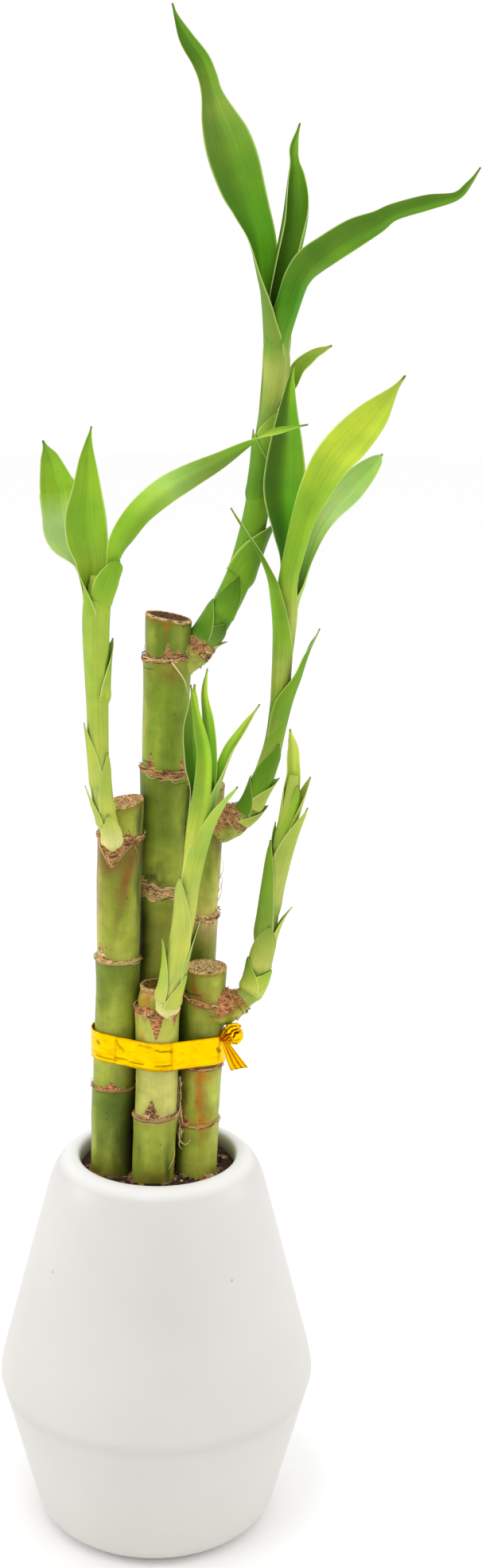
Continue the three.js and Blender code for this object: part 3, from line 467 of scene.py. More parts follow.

# Each cane: radius, centre line, nodes, cut, callus, tones of its skin by height, stains with painted light,
# tufts and fibres. Bearings run from the front, 0, to the right, 90. A node is its height, its drop per
# millimetre to the right, how far its scar reaches down and up, how much wider the cane is under it and
# narrower over it, the tone of its scar, and the places where the scar runs out in a point: bearing, reach
# and half-width. A cut is its height, its drop per millimetre to the right, its tone, and how much narrower
# the cane gets towards it. A callus is its line as x, y, z and radius; tall is how many times its radius it
# reaches up and down where it starts, low what share of that is left below; rust is how rusty its upper
# side is; scars is how scarred it is all over, how much more on top and at the outer end, and their tone. A
# stain is its height, bearing, half-height, half-width in degrees, degrees of lean per millimetre, tone and
# strength. Most stains are the skin's own blotches, but the SHADE ones along a cane's darker side are
# painted shade over its dark green, and the LIME ones near its left and right edges are painted rim light.
# A fibre is its places as bearing, height and distance off the skin, and its thickness. A tuft is its
# bearing and height, and the degrees and millimetres its fibres reach.
CANES = {
    "cane_a": {
        "radius": 6.7,
        "route": [
            (-15.6, -3.2, 30), (-14, -2.2, 138), (-12.5, -2, 178), (-12.1, -2, 216), (-11.1, -2, 240),
        ],
        "nodes": [
            (148, 0, -0.3, -0.1, 0.3, 0.1, CLAY, [(-8, 3, 30), (-40, 1.4, 16), (26, 1.2, 14)]),
            (
                189.4, 0, -0.1, 0.1, 0.3, 0.5, BUFF,
                [(-54, 7, 22), (-26, 2, 20), (10, 0.8, 20), (48, 0.8, 14)],
            ),
            (
                228.6, 0.03, 0.7, 0.5, 0.3, 0.3, BARK,
                [(-18, -9, 62), (22, 2.4, 14), (-66, 2.4, 14), (54, -1.6, 12)],
            ),
        ],
        "cut": (239, -0.2, BUFF, 0), "callus": None,
        "skin": [
            (120, OLIVE), (134, MOSS), (147, MOSS), (149, FERN), (158, LIME), (172, FERN), (188, MOSS),
            (190, LIME), (202, FERN), (216, OLIVE), (227, EARTH), (229, LIME), (239, FERN),
        ],
        "stains_and_painted_light": [
            (132, 58, 24, 42, 0, SHADE, 1), (141, 2, 8, 26, 0, PINE, 0.75),
            (126, -14, 9, 16, -1.5, LIME, 0.5), (132, -64, 11, 16, 0, LIME, 0.8),
            (170, 62, 18, 18, 0, EARTH, 0.7), (181, -40, 8, 20, -1.2, MOSS, 0.9),
            (176, -4, 7, 12, -1.2, LIME, 0.6), (204, -4, 11, 12, -1.6, EARTH, 0.4),
            (217, 24, 7, 14, -1.6, RUST, 0.8), (205, 44, 11, 16, -0.6, LIME, 0.8),
            (212, 64, 12, 12, 0, PINE, 0.8), (208, -66, 16, 14, 0, BUFF, 0.6),
            (200, -30, 8, 14, -1, FERN, 0.8), (222, -24, 4, 26, 0, RUST, 0.5),
            (234, -34, 4, 24, 0, LIME, 0.7), (234, 60, 6, 14, 0, SHADE, 0.7),
        ],
        "tufts": [],
        "fibres": [
            ([(-66, 190, 0.2), (-56, 191.2, 0.8), (-44, 190.4, 0.5)], 0.16),
            ([(40, 226.5, 0.2), (54, 222, 0.3), (57, 216, 0.1)], 0.14),
            (
                [
                    (-64, 231, 0.6), (-52, 226.4, 0.9), (-36, 223.4, 1), (-20, 222.4, 1), (-4, 223.4, 1),
                    (12, 226.6, 0.9),
                ],
                0.22,
            ),
            ([(-72, 227.4, 0.4), (-52, 224.6, 0.5), (-40, 223.4, 0.6), (-28, 220.4, 0.3)], 0.14),
            ([(34, 228, 0.4), (18, 225.2, 0.5), (6, 224.4, 0.6), (-8, 221, 0.3)], 0.14),
            ([(-46, 225, 0.5), (-30, 222.8, 0.9), (-16, 222.6, 0.9), (-2, 224.4, 0.6)], 0.16),
            ([(-30, 223.8, 0.5), (-22, 220.8, 0.6), (-14, 222, 0.4)], 0.14),
        ],
    },
    "cane_b": {
        "radius": 7,
        "route": [(-3.2, 6.4, 30), (-0.7, 5.8, 155), (0.2, 5.8, 187), (1, 5.8, 226), (2.7, 6.2, 295)],
        "nodes": [
            (172, 0, 0, 0.1, 0.2, 0.2, BUFF, []),
            (
                209.8, 0.05, 1.8, 1.4, 0.4, 0.4, BUFF,
                [(-56, 3.4, 36), (-22, -1.4, 24), (30, -1.2, 16), (-20, 1.4, 18)],
            ),
            (247, 0.14, 1.2, 0.7, 0.5, 0.4, BARK, [(-38, 6, 16), (-6, -1.6, 14), (52, 5, 14), (10, 1, 20)]),
            (281.8, -0.05, 0.9, 0.6, 0.5, 0.4, BARK, [(0, 5, 17), (-62, 3, 14), (26, 2.4, 20)]),
        ],
        "cut": (294, 0.18, COCOA, 0),
        "callus": {
            "line": [(2.5, 6.3, 277, 4.6), (9.4, 6.6, 282.4, 5), (13.4, 7, 286.6, 4.9)], "tall": 1,
            "low": 1, "rust": 0.1, "scars": (0.1, 0, 0.9, BARK),
        },
        "skin": [
            (170, OLIVE), (200, OLIVE), (213, FERN), (220, FERN), (228, MOSS), (244, MOSS), (250, GLADE),
            (262, GLADE), (274, GLADE), (280, OLIVE), (284, MOSS), (293, MOSS),
        ],
        "stains_and_painted_light": [
            (194, -52, 16, 22, 0, SHADE, 0.9), (262, -66, 15, 16, 0, LIME, 0.9),
            (262, 30, 10, 24, 0, MOSS, 0.8), (256, -20, 8, 14, 0, LIME, 0.4),
            (254, 64, 8, 18, 0, LIME, 0.7), (232, 44, 14, 18, 0, FERN, 0.8),
            (234, -62, 12, 22, 0, PINE, 0.8), (213.6, -24, 1.7, 44, 0, SHADE, 0.75),
            (217, -20, 2, 30, 0, PINE, 0.5), (288, -52, 7, 22, 0, FERN, 0.9),
            (291.6, -6, 1.6, 9, 0, AMBER, 0.7), (288, 34, 7, 22, 0, LIME, 0.5),
            (277, 10, 2.4, 24, 0, RUST, 0.4),
        ],
        "tufts": [],
        "fibres": [
            ([(8, 281.5, 0.3), (22, 279, 1), (38, 275.5, 1.6), (50, 271.5, 1.2)], 0.34),
            ([(-10, 281.5, 0.4), (0, 280.8, 0.9), (14, 281.2, 0.5)], 0.16),
            ([(-58, 282, 0.2), (-66, 284.5, 0.8), (-60, 286.5, 0.4)], 0.14),
            ([(-56, 247, 0.3), (-30, 245.6, 0.7), (-8, 246.6, 0.4)], 0.15),
            ([(8, 246, 0.4), (26, 244.2, 0.8), (48, 245, 0.4)], 0.15),
        ],
    },
    "cane_c": {
        "radius": 6.5, "route": [(-3.2, -9.6, 30), (-1.5, -8.8, 119), (-0.3, -8.8, 150), (-0.3, -8.8, 184)],
        "nodes": [
            (141, -0.03, -0.2, 0, 0.6, 0.1, BARK, [(-14, 7, 30), (-50, 1, 14), (30, 0.9, 20)]),
            (
                175.6, 0.04, 0.9, 0.6, 0.5, 0.9, CLAY,
                [(-2, -8.5, 22), (-62, -3, 10), (52, -4, 14), (-34, 2, 20), (-34, -2.6, 8)],
            ),
        ],
        "cut": (183, 0.02, EARTH, 1), "callus": None,
        "skin": [
            (118, OLIVE), (124, FERN), (139, FERN), (141, SAND), (144, HUSK), (156, HUSK), (168, LIME),
            (174, LIME), (178, FERN), (183, OLIVE),
        ],
        "stains_and_painted_light": [
            (167, -44, 3, 9, 0, AMBER, 0.5), (156, -64, 16, 12, 0, FERN, 0.8),
            (130, 34, 8, 12, 1.4, LIME, 0.8), (123, 44, 9, 11, 0.9, PINE, 1),
            (126, -20, 8, 20, 0, LIME, 0.5), (128, -44, 9, 14, 0.5, MOSS, 0.7),
            (135, -10, 5, 20, 0, LIME, 0.5), (120, 0, 3, 60, 0, EARTH, 0.6),
            (179.5, -40, 3, 22, 0, AMBER, 0.8), (181.4, -20, 1.4, 60, 0, BUFF, 0.6),
            (166, 0, 4, 26, 0, BUFF, 0.3),
        ],
        "tufts": [(-16, 143.2, 14, 1.6)],
        "fibres": [
            ([(-36, 174.6, 0.3), (-16, 175.8, 0.8), (8, 176, 0.4)], 0.15),
            ([(24, 175, 0.3), (38, 173.8, 0.5), (50, 172.8, 0.2)], 0.14),
            ([(44, 124, 0.2), (60, 128, 0.9), (58, 133, 0.4)], 0.14),
        ],
    },
    "cane_d": {
        "radius": 6.4, "route": [(11.4, -4.4, 30), (12.2, -3.2, 124), (13.9, -3, 165), (14.8, -3, 188)],
        "nodes": [
            (118.2, 0, 1, 1, 0, 0, BUFF, []),
            (136.6, -0.08, 0, 0, 0.2, 0.2, CLAY, [(-40, 4, 18), (6, -1.4, 24)]),
            (155.4, 0, 0.1, 0.2, 0.2, 0.2, CLAY, [(10, -1.2, 20), (-30, -1, 16)]),
            (176, 0.3, 0.3, 0.4, 0.5, 0.45, CLAY, [(46, -1.4, 26), (60, 4, 20), (-16, 0.8, 24)]),
        ],
        "cut": (187, 0, STRAW, 0),
        "callus": {
            "line": [
                (14, -3, 172.4, 5.2), (19.4, -3, 173, 6.3), (24, -3, 174.6, 4.7), (27.6, -3, 176.6, 3),
            ],
            "tall": 1.42, "low": 0.45, "rust": 0.7, "scars": (0.05, 1, -0.5, CLAY),
        },
        "skin": [
            (118, FERN), (124, LIME), (130, FERN), (136, FERN), (142, FERN), (151, LIME), (156, OLIVE),
            (166, OLIVE), (172, FERN), (175, FERN), (178, OLIVE), (187, FERN),
        ],
        "stains_and_painted_light": [
            (146, -2, 9, 8, 0.8, AMBER, 0.75), (146, 6, 11, 14, 0.8, RUST, 0.5),
            (153.4, 8, 1.6, 30, 0, AMBER, 0.7), (137.6, 8, 2.6, 24, 0, AMBER, 0.7),
            (145, -58, 12, 20, 0, EARTH, 0.8), (146, 46, 8, 18, 0, LIME, 0.9),
            (130, 52, 6, 20, 0, LIME, 0.7), (126, -58, 8, 18, 0, PINE, 0.8),
            (169, -60, 7, 18, 0, PINE, 0.8), (180, -34, 5, 10, 1.2, RUST, 0.8),
            (179, -10, 2.4, 40, 0, RUST, 0.5), (182, 34, 5, 20, 0, LIME, 0.6),
            (173.4, 50, 2, 30, 0, RUST, 0.7),
        ],
        "tufts": [(-60, 139, 10, 3.6), (-50, 133.4, 10, 2), (-66, 147, 6, 5)],
        "fibres": [
            ([(-58, 137, 0.3), (-46, 132, 1.6), (-30, 130.6, 1.2), (-18, 132.4, 0.6)], 0.32),
            ([(-56, 133, 0.3), (-50, 129.6, 1.1), (-40, 128.4, 0.8)], 0.26),
            ([(-60, 139, 0.3), (-52, 143, 1.2), (-56, 147, 0.5)], 0.3),
            ([(-70, 150, 0.3), (-58, 146, 0.9), (-62, 141, 0.6)], 0.2),
            ([(-64, 144, 0.4), (-50, 139, 1.1), (-58, 134, 0.6)], 0.22),
            ([(-72, 138, 0.5), (-60, 134.6, 1.2), (-46, 133, 0.8)], 0.2),
            ([(-56, 141, 0.4), (-44, 137.6, 0.9), (-36, 136.4, 0.4)], 0.18),
            ([(-62, 176.8, 0.3), (-30, 178, 0.7), (10, 176.4, 0.5)], 0.16),
            ([(-40, 176.5, 0.4), (0, 174.6, 0.8), (40, 173, 0.5)], 0.16),
        ],
    },
    "cane_e": {
        "radius": 6.4,
        "route": [
            (9.6, 13.6, 30), (10.4, 14.1, 147), (11.8, 14.4, 186), (12.5, 14.4, 206), (14, 14.5, 240),
        ],
        "nodes": [
            (152, 0, 0, 0.1, 0.2, 0.2, BUFF, []),
            (198.6, 0.05, 1.3, 0.9, 0.3, 0.3, BUFF, [(36, -1, 20), (64, 2, 12)]),
            (227.6, -0.05, 0.6, 0.5, 0.3, 0.3, BARK, [(50, 2, 16)]),
        ],
        "cut": (240.6, 0.05, BARK, 0),
        "callus": {
            "line": [
                (13.5, 14.3, 228, 5.5), (20.7, 13.6, 228.3, 5.9), (25.3, 12.6, 230.2, 4.6),
                (27.4, 12, 231, 3.4),
            ],
            "tall": 1.1, "low": 1, "rust": 0.4, "scars": (0.35, 0.5, 0.5, BARK),
        },
        "skin": [
            (150, OLIVE), (188, OLIVE), (196, SAND), (200, LEMON), (208, LIME), (214, FERN), (222, OLIVE),
            (226, EARTH), (230, FERN), (240, FERN),
        ],
        "stains_and_painted_light": [
            (234, -30, 6, 24, 0, PINE, 0.8), (234, 44, 5, 24, 0, BUFF, 0.5), (216, 26, 7, 14, 0, MOSS, 0.7),
            (222, 60, 5, 16, 0, EARTH, 0.7), (186, 0, 10, 24, 0, PINE, 0.7),
            (206, 60, 8, 12, 0, LEMON, 0.7),
        ],
        "tufts": [],
        "fibres": [
            ([(70, 206, 0.1), (78, 209, 1), (74, 212, 0.3)], 0.14),
            ([(72, 210, 0.1), (80, 213.4, 1.1), (76, 217, 0.3)], 0.14),
            ([(68, 203, 0.1), (82, 206, 0.9), (80, 209.5, 0.2)], 0.12),
            ([(40, 199.5, 0.4), (60, 200.8, 0.8), (76, 199.4, 0.4)], 0.16),
        ],
    },
}


def layer(layers, name):
    return layers.get(name) or layers.new(name)


def sleeve(mesh, columns, rows, place):
    map_layer = layer(mesh.loops.layers.uv, "UVMap")
    tone_layer = layer(mesh.verts.layers.float_color, "tone")
    # On the foil, the dry and scar layers carry the umber of painted crease shade and how much of it shows.
    dry_layer = layer(mesh.verts.layers.float_color, "dry")
    scar_layer = layer(mesh.verts.layers.float, "scar")
    made = bmesh.ops.create_grid(mesh, x_segments=columns, y_segments=rows, size=1, calc_uvs=True)["verts"]
    for corner in made:
        column = round((corner.co.x + 1) / 2 * columns)
        row = round((corner.co.y + 1) / 2 * rows)
        point, spot, tone, dry, scar = place(column, row)
        corner.co = point
        corner[tone_layer] = paint(*tone)
        corner[dry_layer] = paint(*dry)
        corner[scar_layer] = scar
        for loop in corner.link_loops:
            loop[map_layer].uv = spot
    bmesh.ops.remove_doubles(mesh, verts=made, dist=1e-4)


def close_ends(mesh):
    rims = [edge for edge in mesh.edges if edge.is_boundary]
    bmesh.ops.holes_fill(mesh, edges=rims, sides=0)
    bmesh.ops.recalc_face_normals(mesh, faces=mesh.faces)


def blended(first, second, share):
    return [a + (b - a) * share for a, b in zip(first, second)]


def smooth(low, high, value):
    t = min(max((value - low) / (high - low), 0), 1)
    return t * t * (3 - 2 * t)


def at_height(route, height):
    i = max(sum(1 for place in route[:-1] if place[2] < height), 1)
    low, high = route[i - 1], route[i]
    return blended(low, high, (height - low[2]) / (high[2] - low[2]))


def away(bearing, middle):
    return (bearing - middle + 180) % 360 - 180


def heading(bearing):
    return math.sin(math.radians(bearing)), math.cos(math.radians(bearing))


def cane_levels(cane):
    cut_height, cut_fall, *_ = cane["cut"]
    levels = [(height, 0) for height in BURIED_LEVELS]
    height = FINE_START
    while height < cut_height - CUT_LEVELS[0]:
        levels.append((height, 0))
        height += CANE_STEP
    for middle, fall, *_ in cane["nodes"]:
        levels = [level for level in levels if abs(level[0] - middle) > NODE_REACH]
        steps = round(2 * NODE_REACH / NODE_STEP)
        fine = [(middle - NODE_REACH + i * NODE_STEP, fall) for i in range(steps + 1)]
        levels += [level for level in fine if level[0] < cut_height - CUT_LEVELS[0]]
    levels += [(cut_height - down, cut_fall) for down in CUT_LEVELS]
    return sorted(levels)


def skin_tone(cane, bearing, height):
    right, front = heading(bearing)
    tones = cane["skin"]
    i = max(sum(1 for level, _ in tones[:-1] if level < height), 1)
    (low, first), (high, second) = tones[i - 1], tones[i]
    tone = blended(first, second, min(max((height - low) / (high - low), 0), 1))
    drift = 5 * ripple(right * 2, front * 2, height / 7) + 3 * ripple(right * 5, front * 5, height / 2.5)
    # Stains lay the skin's own blotches, and painted shade and painted rim light on the canes' sides.
    for z, middle, tall, wide, lean, patch_tone, strength in cane["stains_and_painted_light"]:
        turn = away(bearing, middle) - lean * (z - height) + 1.6 * drift
        rise = height - z + 0.5 * drift
        tone = blended(tone, patch_tone, strength * math.exp(-((turn / wide) ** 2) - (rise / tall) ** 2))
    return tone


def node_shape(cane, bearing, height, number):
    right, front = heading(bearing)
    swell = 0.1 * ripple(right * 1.2, front * 1.2, height / 11 + number * 7)
    scar, lip, crevice_shade = 0, 0, 0
    dry = BARK
    for middle, _, below, above, flare, waist, scar_tone, points in cane["nodes"]:
        offset = height - middle + 0.4 * ripple(right * 2, front * 2, middle)
        offset += 0.12 * ripple(right * 9, front * 9, middle)
        for point_bearing, reach, width in points:
            bulge = abs(reach) * max(0, 1 - abs(away(bearing, point_bearing)) / width) ** 1.2
            if reach > 0:
                above += bulge
            else:
                below += bulge
        if offset <= 0:
            swell += flare * math.exp(offset / 5)
        else:
            swell -= waist * smooth(0, 0.8, offset) * math.exp(-offset / 5)
        crest = bell(offset, NODE_CREST)
        swell += NODE_LIP * crest
        lip = max(lip, crest * (0.7 + 0.5 * ripple(right * 6, front * 6, middle)))
        # Dark brown lines under and over the lip: the crevice's brown and painted shade in it.
        shadow = bell(offset + CREVICE_BELOW, CREVICE_HALF)
        crevice_shade = max(crevice_shade, shadow, 0.7 * bell(offset - CREVICE_ABOVE, CREVICE_HALF))
        inside = smooth(-below - 0.25, -below + 0.1, offset) * (1 - smooth(above - 0.1, above + 0.25, offset))
        swell += inside * 0.35 * ripple(right * 8, front * 8, height * 1.1)
        if inside > 0 or abs(offset) < NODE_REACH:
            dry = scar_tone
        scar = max(scar, inside)
    return swell, scar, lip, crevice_shade, dry


def build_cane(mesh, cane, number):
    levels = cane_levels(cane)
    cut_height, _, cut_tone, shrink = cane["cut"]

    def place(column, row):
        bearing = 360 * column / CANE_COLUMNS - 180
        right, front = heading(bearing)
        back = -front
        if row < len(levels):
            height, fall = levels[row]
            swell, scar, lip, crevice_shade, dry = node_shape(cane, bearing, height, number)
            down = cut_height - height
            radius = cane["radius"] + swell - CUT_ROUNDING * max(0, 1 - down / 0.5) ** 2
            radius -= shrink * smooth(6, 1, down)
            edge = down + 0.5 * ripple(right * 4, back * 4, 3 + number)
            edge += 0.3 * ripple(right * 11, back * 11, number)
            if edge < 1.1:
                dry = BUFF
            scar = max(scar, 1 - smooth(0.5, 1.1, edge))
            tone = blended(skin_tone(cane, bearing, height), COCOA, 0.7 * crevice_shade)
            tone = blended(tone, RUST, 0.6 * bell(edge - 1.4, 0.4))
            tone = blended(tone, dry, 0.9 * lip)
        else:
            height, fall = levels[-1]
            share = CUT_RINGS[row - len(levels)]
            rim = node_shape(cane, bearing, height, number)[0]
            radius = (cane["radius"] + rim - CUT_ROUNDING - shrink) * share
            scar = 2
            tone = cut_tone
            dry = blended(BUFF, cut_tone, smooth(0.97, 0.85, share))
        centre = at_height(cane["route"], height)
        x = radius * right
        y = radius * back
        z = height - fall * x
        if row >= len(levels):
            z += 0.3 * ripple(x * 1.5, y * 1.5, number) - CUT_HOLLOW * (1 - share ** 3)
        spot = (bearing / 360, height / CANE_MAP_LENGTH)
        return Vector((centre[0] + x, centre[1] + y, z)), spot, tone, dry, scar

    sleeve(mesh, CANE_COLUMNS, len(levels) + len(CUT_RINGS) - 1, place)


def spline_point(four, t):
    value = []
    slope = []
    for a, b, c, d in zip(*four):
        leave = (c - a) / 2
        arrive = (d - b) / 2
        cubic = 2 * b - 2 * c + leave + arrive
        square = 3 * c - 3 * b - 2 * leave - arrive
        value.append(((cubic * t + square) * t + leave) * t + b)
        slope.append((3 * cubic * t + 2 * square) * t + leave)
    return value, Vector(slope[:3]).normalized()


def spline(places, steps):
    before = [2 * a - b for a, b in zip(places[0], places[1])]
    after = [2 * a - b for a, b in zip(places[-1], places[-2])]
    held = [before, *places, after]
    line = [spline_point(held[i:i + 4], j / steps) for i in range(len(places) - 1) for j in range(steps)]
    return [*line, spline_point(held[-4:], 1)]


def sideways(tangent, bearing):
    viewer = Vector((0, -1, 0))
    side = (viewer - tangent * viewer.dot(tangent)).normalized()
    return Matrix.Rotation(math.radians(bearing), 3, tangent) @ side


def callus_reach(callus, out, radius, share):
    reach = out * radius
    reach.z *= 1 + (callus["tall"] - 1) * (1 - share)
    if out.z < 0:
        reach.z *= 1 + (callus["low"] - 1) * (1 - share)
    return reach


def build_callus(mesh, callus):
    line = spline(callus["line"], CALLUS_STEPS)
    last = len(line) - 1

    def place(column, row):
        (x, y, z, radius), tangent = line[row]
        out = sideways(tangent, 360 * column / CALLUS_COLUMNS - 180)
        lump = ripple(x / 2.5, out.y * 2, out.z * 2) + 0.6 * ripple(x, out.y * 5, out.z * 5)
        reach = callus_reach(callus, out, radius - 0.2 + 0.45 * lump, row / last)
        face, top, ring, dry = callus["scars"]
        scar = face + top * smooth(-0.35, 0.25, out.z) + ring * smooth(0.5, 0.7, row / last) + 0.35 * lump
        tone = blended(FERN, LIME, smooth(-0.5, 0.5, lump))
        tone = blended(tone, RUST, callus["rust"] * smooth(-0.5, 0.1, out.z))
        spot = (x / CALLUS_MAP_LENGTH, 0.9 * column / CALLUS_COLUMNS)
        return Vector((x, y, z)) + reach, spot, tone, dry, scar

    sleeve(mesh, CALLUS_COLUMNS, last, place)


def build_fibre(mesh, cane, places, thickness, tone):
    route = []
    for bearing, height, off in places:
        centre = at_height(cane["route"], height)
        reach = cane["radius"] + off
        right, front = heading(bearing)
        route.append((centre[0] + reach * right, centre[1] - reach * front, height))
    build_strand(mesh, route, thickness, tone)


def build_strand(mesh, route, thickness, tone):
    line = spline(route, 3)
    last = len(line) - 1

    def place(column, row):
        point, tangent = line[row]
        out = sideways(tangent, 360 * column / FIBRE_COLUMNS)
        thin = thickness * (1 - 0.7 * row / last)
        return Vector(point) + out * thin, (column / FIBRE_COLUMNS, row / last), tone, tone, 0

    sleeve(mesh, FIBRE_COLUMNS, last, place)


def tangle(mesh, cane, node):
    middle, fall, below, above, *_ = node
    for _ in range(round(TANGLE * (1 + max(below, 0) + max(above, 0)))):
        bearing = torn.uniform(0, 360)
        span = torn.uniform(9, 24)
        height = middle + torn.uniform(-below - 0.4, above + 0.5)
        places = []
        for i in range(4):
            right, front = heading(bearing + i * span)
            bend = 0.4 * ripple(right * 2, front * 2, middle)
            slant = fall * cane["radius"] * right
            rise = height - bend - slant + torn.uniform(-0.45, 0.45)
            places.append((bearing + i * span, rise, torn.uniform(0.3, 0.85)))
        build_fibre(mesh, cane, places, torn.uniform(0.12, 0.26), torn.choice(FIBRE_TONES))


def tuft(mesh, cane, bearing, height, wide, tall):
    for _ in range(TUFT):
        places = []
        for _ in range(4):
            off = torn.uniform(0.2, 1.3)
            places.append((bearing + torn.uniform(-wide, wide), height + torn.uniform(-tall, tall), off))
        build_fibre(mesh, cane, places, torn.uniform(0.14, 0.3), torn.choice(FIBRE_TONES))


def fray(mesh, callus):
    line = spline(callus["line"], CALLUS_STEPS)
    for _ in range(FRAY):
        row = round((len(line) - 1) * torn.uniform(*FRAY_REACH))
        bearing = torn.uniform(0, 360)
        span = torn.uniform(12, 30)
        route = []
        for i in range(4):
            (x, y, z, radius), tangent = line[min(max(row + torn.randint(-1, 1), 0), len(line) - 1)]
            out = sideways(tangent, bearing + i * span)
            reach = callus_reach(callus, out, radius + torn.uniform(-0.1, 0.25), row / (len(line) - 1))
            route.append((x + reach.x, y + reach.y, z + reach.z))
        build_strand(mesh, route, torn.uniform(0.12, 0.24), torn.choice(FIBRE_TONES))


def stretched(tree, where, scale):
    return add_node(tree, "Mapping", {"Vector": where, "Scale": scale}).outputs[0]


bark, bark_tree, bark_surface = new_finish("cane_skin", Specular_IOR_Level=0.14)
bark_where = object_place(bark_tree)
bark_map = add_node(bark_tree, "UVMap", uv_map="UVMap").outputs[0]
bark_scar = painted(bark_tree, "scar", 2)
bark_cloud = ramp(bark_tree, grain(bark_tree, bark_where, 170, 4, 0.6), [(0.3, 0.78), (0.7, 1.2)])
bark_lines = grain(bark_tree, stretched(bark_tree, bark_where, (1500, 1500, 60)), 1, 3)
bark_streak = ramp(bark_tree, bark_lines, [(0.3, 0.95), (0.7, 1.05)])
bark_green = times(bark_tree, painted(bark_tree, "tone"), times(bark_tree, bark_cloud, bark_streak))
bark_cells = add_node(bark_tree, "TexVoronoi", {"Vector": bark_where, "Scale": 420.0})
bark_dots = ramp(bark_tree, bark_cells.outputs["Distance"], [(0.08, 1), (0.16, 0)])
bark_rare = ramp(bark_tree, grain(bark_tree, bark_where, 300, 1), [(0.58, 0), (0.62, 1)])
bark_flecked = mix(bark_tree, times(bark_tree, bark_dots, bark_rare), bark_green, paint(*COCOA))
bark_swirl = grain(bark_tree, stretched(bark_tree, bark_map, (34, 74, 1)), 1, 5, 0.62, 1.6)
bark_fine = ramp(bark_tree, bark_swirl, [(0.36, 0.2), (0.44, 0.6), (0.52, 1.05), (0.6, 1.4)])
bark_folds = grain(bark_tree, stretched(bark_tree, bark_map, (15, 40, 1)), 1, 3, 0.6)
bark_torn = times(bark_tree, bark_fine, ramp(bark_tree, bark_folds, FOLD_SHADES))
bark_pith = ramp(bark_tree, grain(bark_tree, bark_where, 1700, 3, 0.6), PITH_SHADES)
bark_level = add_node(bark_tree, "Math", {0: bark_scar, 1: 1.2}, operation="SUBTRACT").outputs[0]
bark_cut = ramp(bark_tree, bark_level, [(0.2, 0), (0.5, 1)])
bark_scrap = times(bark_tree, painted(bark_tree, "dry"), mix(bark_tree, bark_cut, bark_torn, bark_pith))
bark_ragged = grain(bark_tree, bark_where, 1100, 4, 0.6)
bark_edge = add_node(bark_tree, "Math", {0: bark_scar, 1: bark_ragged}, operation="SUBTRACT").outputs[0]
bark_share = ramp(bark_tree, bark_edge, [(0.0, 0), (0.1, 1)])
bark_shade = mix(bark_tree, bark_share, bark_flecked, bark_scrap)
bark_tree.links.new(bark_shade, bark_surface.inputs["Base Color"])
bark_gloss = ramp(bark_tree, bark_share, [(0.0, 0.36), (1.0, 0.85)])
bark_tree.links.new(bark_gloss, bark_surface.inputs["Roughness"])
relief(bark_tree, bark_surface, mix(bark_tree, bark_share, bark_streak, bark_swirl), 0.6, 0.0006)

for number, (name, cane) in enumerate(CANES.items()):
    cane_mesh = bmesh.new()
    build_cane(cane_mesh, cane, number)
    if cane["callus"]:
        build_callus(cane_mesh, cane["callus"])
        fray(cane_mesh, cane["callus"])
    for places, thickness in cane["fibres"]:
        tone = STRAW if thickness > THICK_FIBRE else torn.choice([STRAW, BUFF, BARK])
        build_fibre(cane_mesh, cane, places, thickness, tone)
    for node in cane["nodes"]:
        tangle(cane_mesh, cane, node)
    for values in cane["tufts"]:
        tuft(cane_mesh, cane, *values)
    close_ends(cane_mesh)
    finished(cane_mesh, name + "_bark", bark, "cane", name)

# Shoots: the green stems that broke from the canes' nodes. Each is wrapped in bracts and in the sheaths of
# its leaves. The leaves are thin, channelled blades with fine parallel veins, pale margins and dry tips.
STEM_COLUMNS = 28
STEM_STEPS = 6
# How far the inner and the outer face lie outside the channel's surface, and how far the midrib stands out.
LEAF_FACES = (0.25, 0.7, 0.45)
BRACT_FACES = (0.1, 0.3, 0.1)
MARGIN_THICKNESS = 0.18
SHEATH_SINK = 0.05
SHEATH_ROOT_SINK = 1.1
THROAT_OPENING = 0.8
BRACT_SHARES = (0.15, 0.3, 0.45, 0.6, 0.75, 0.88)
BRACT_TAPER = 1.8
BRACT_LIFTS = (0.45, 0.3, 0.15, 0)
BRACT_STEPS = 6
BRACT_THROAT = 0.25
TIP_ANGLE = 8
LEAF_STEPS = 7
LEAF_WAVE = 0.15
FLUTTERS = 23
FLUTTER_SHIFT = 2.1
LEAST_ANGLE = 3
MIDRIB_SHARE = 0.16
COLUMN_SHARES = (0, 0.16, 0.32, 0.48, 0.64, 0.78, 0.9, 0.972, 1)

CREAM = (214, 212, 140)
PEA = (184, 194, 86)
APPLE = (160, 184, 66)
SPRING = (132, 176, 42)
SUNNY = (184, 208, 60)
MINT = (158, 198, 92)
GRASS = (108, 152, 34)
SAGE = (120, 150, 56)
GREEN = (90, 134, 30)
EMERALD = (78, 140, 18)
HOLLY = (62, 104, 16)
HAY = (172, 182, 88)
FROST = (180, 212, 128)
MARGIN_TONE = (216, 228, 150)
CLOUD_SHADES = [(0.32, (0.86, 0.92, 0.9, 1)), (0.5, (1, 1, 1, 1)), (0.68, (1.16, 1.08, 0.9, 1))]
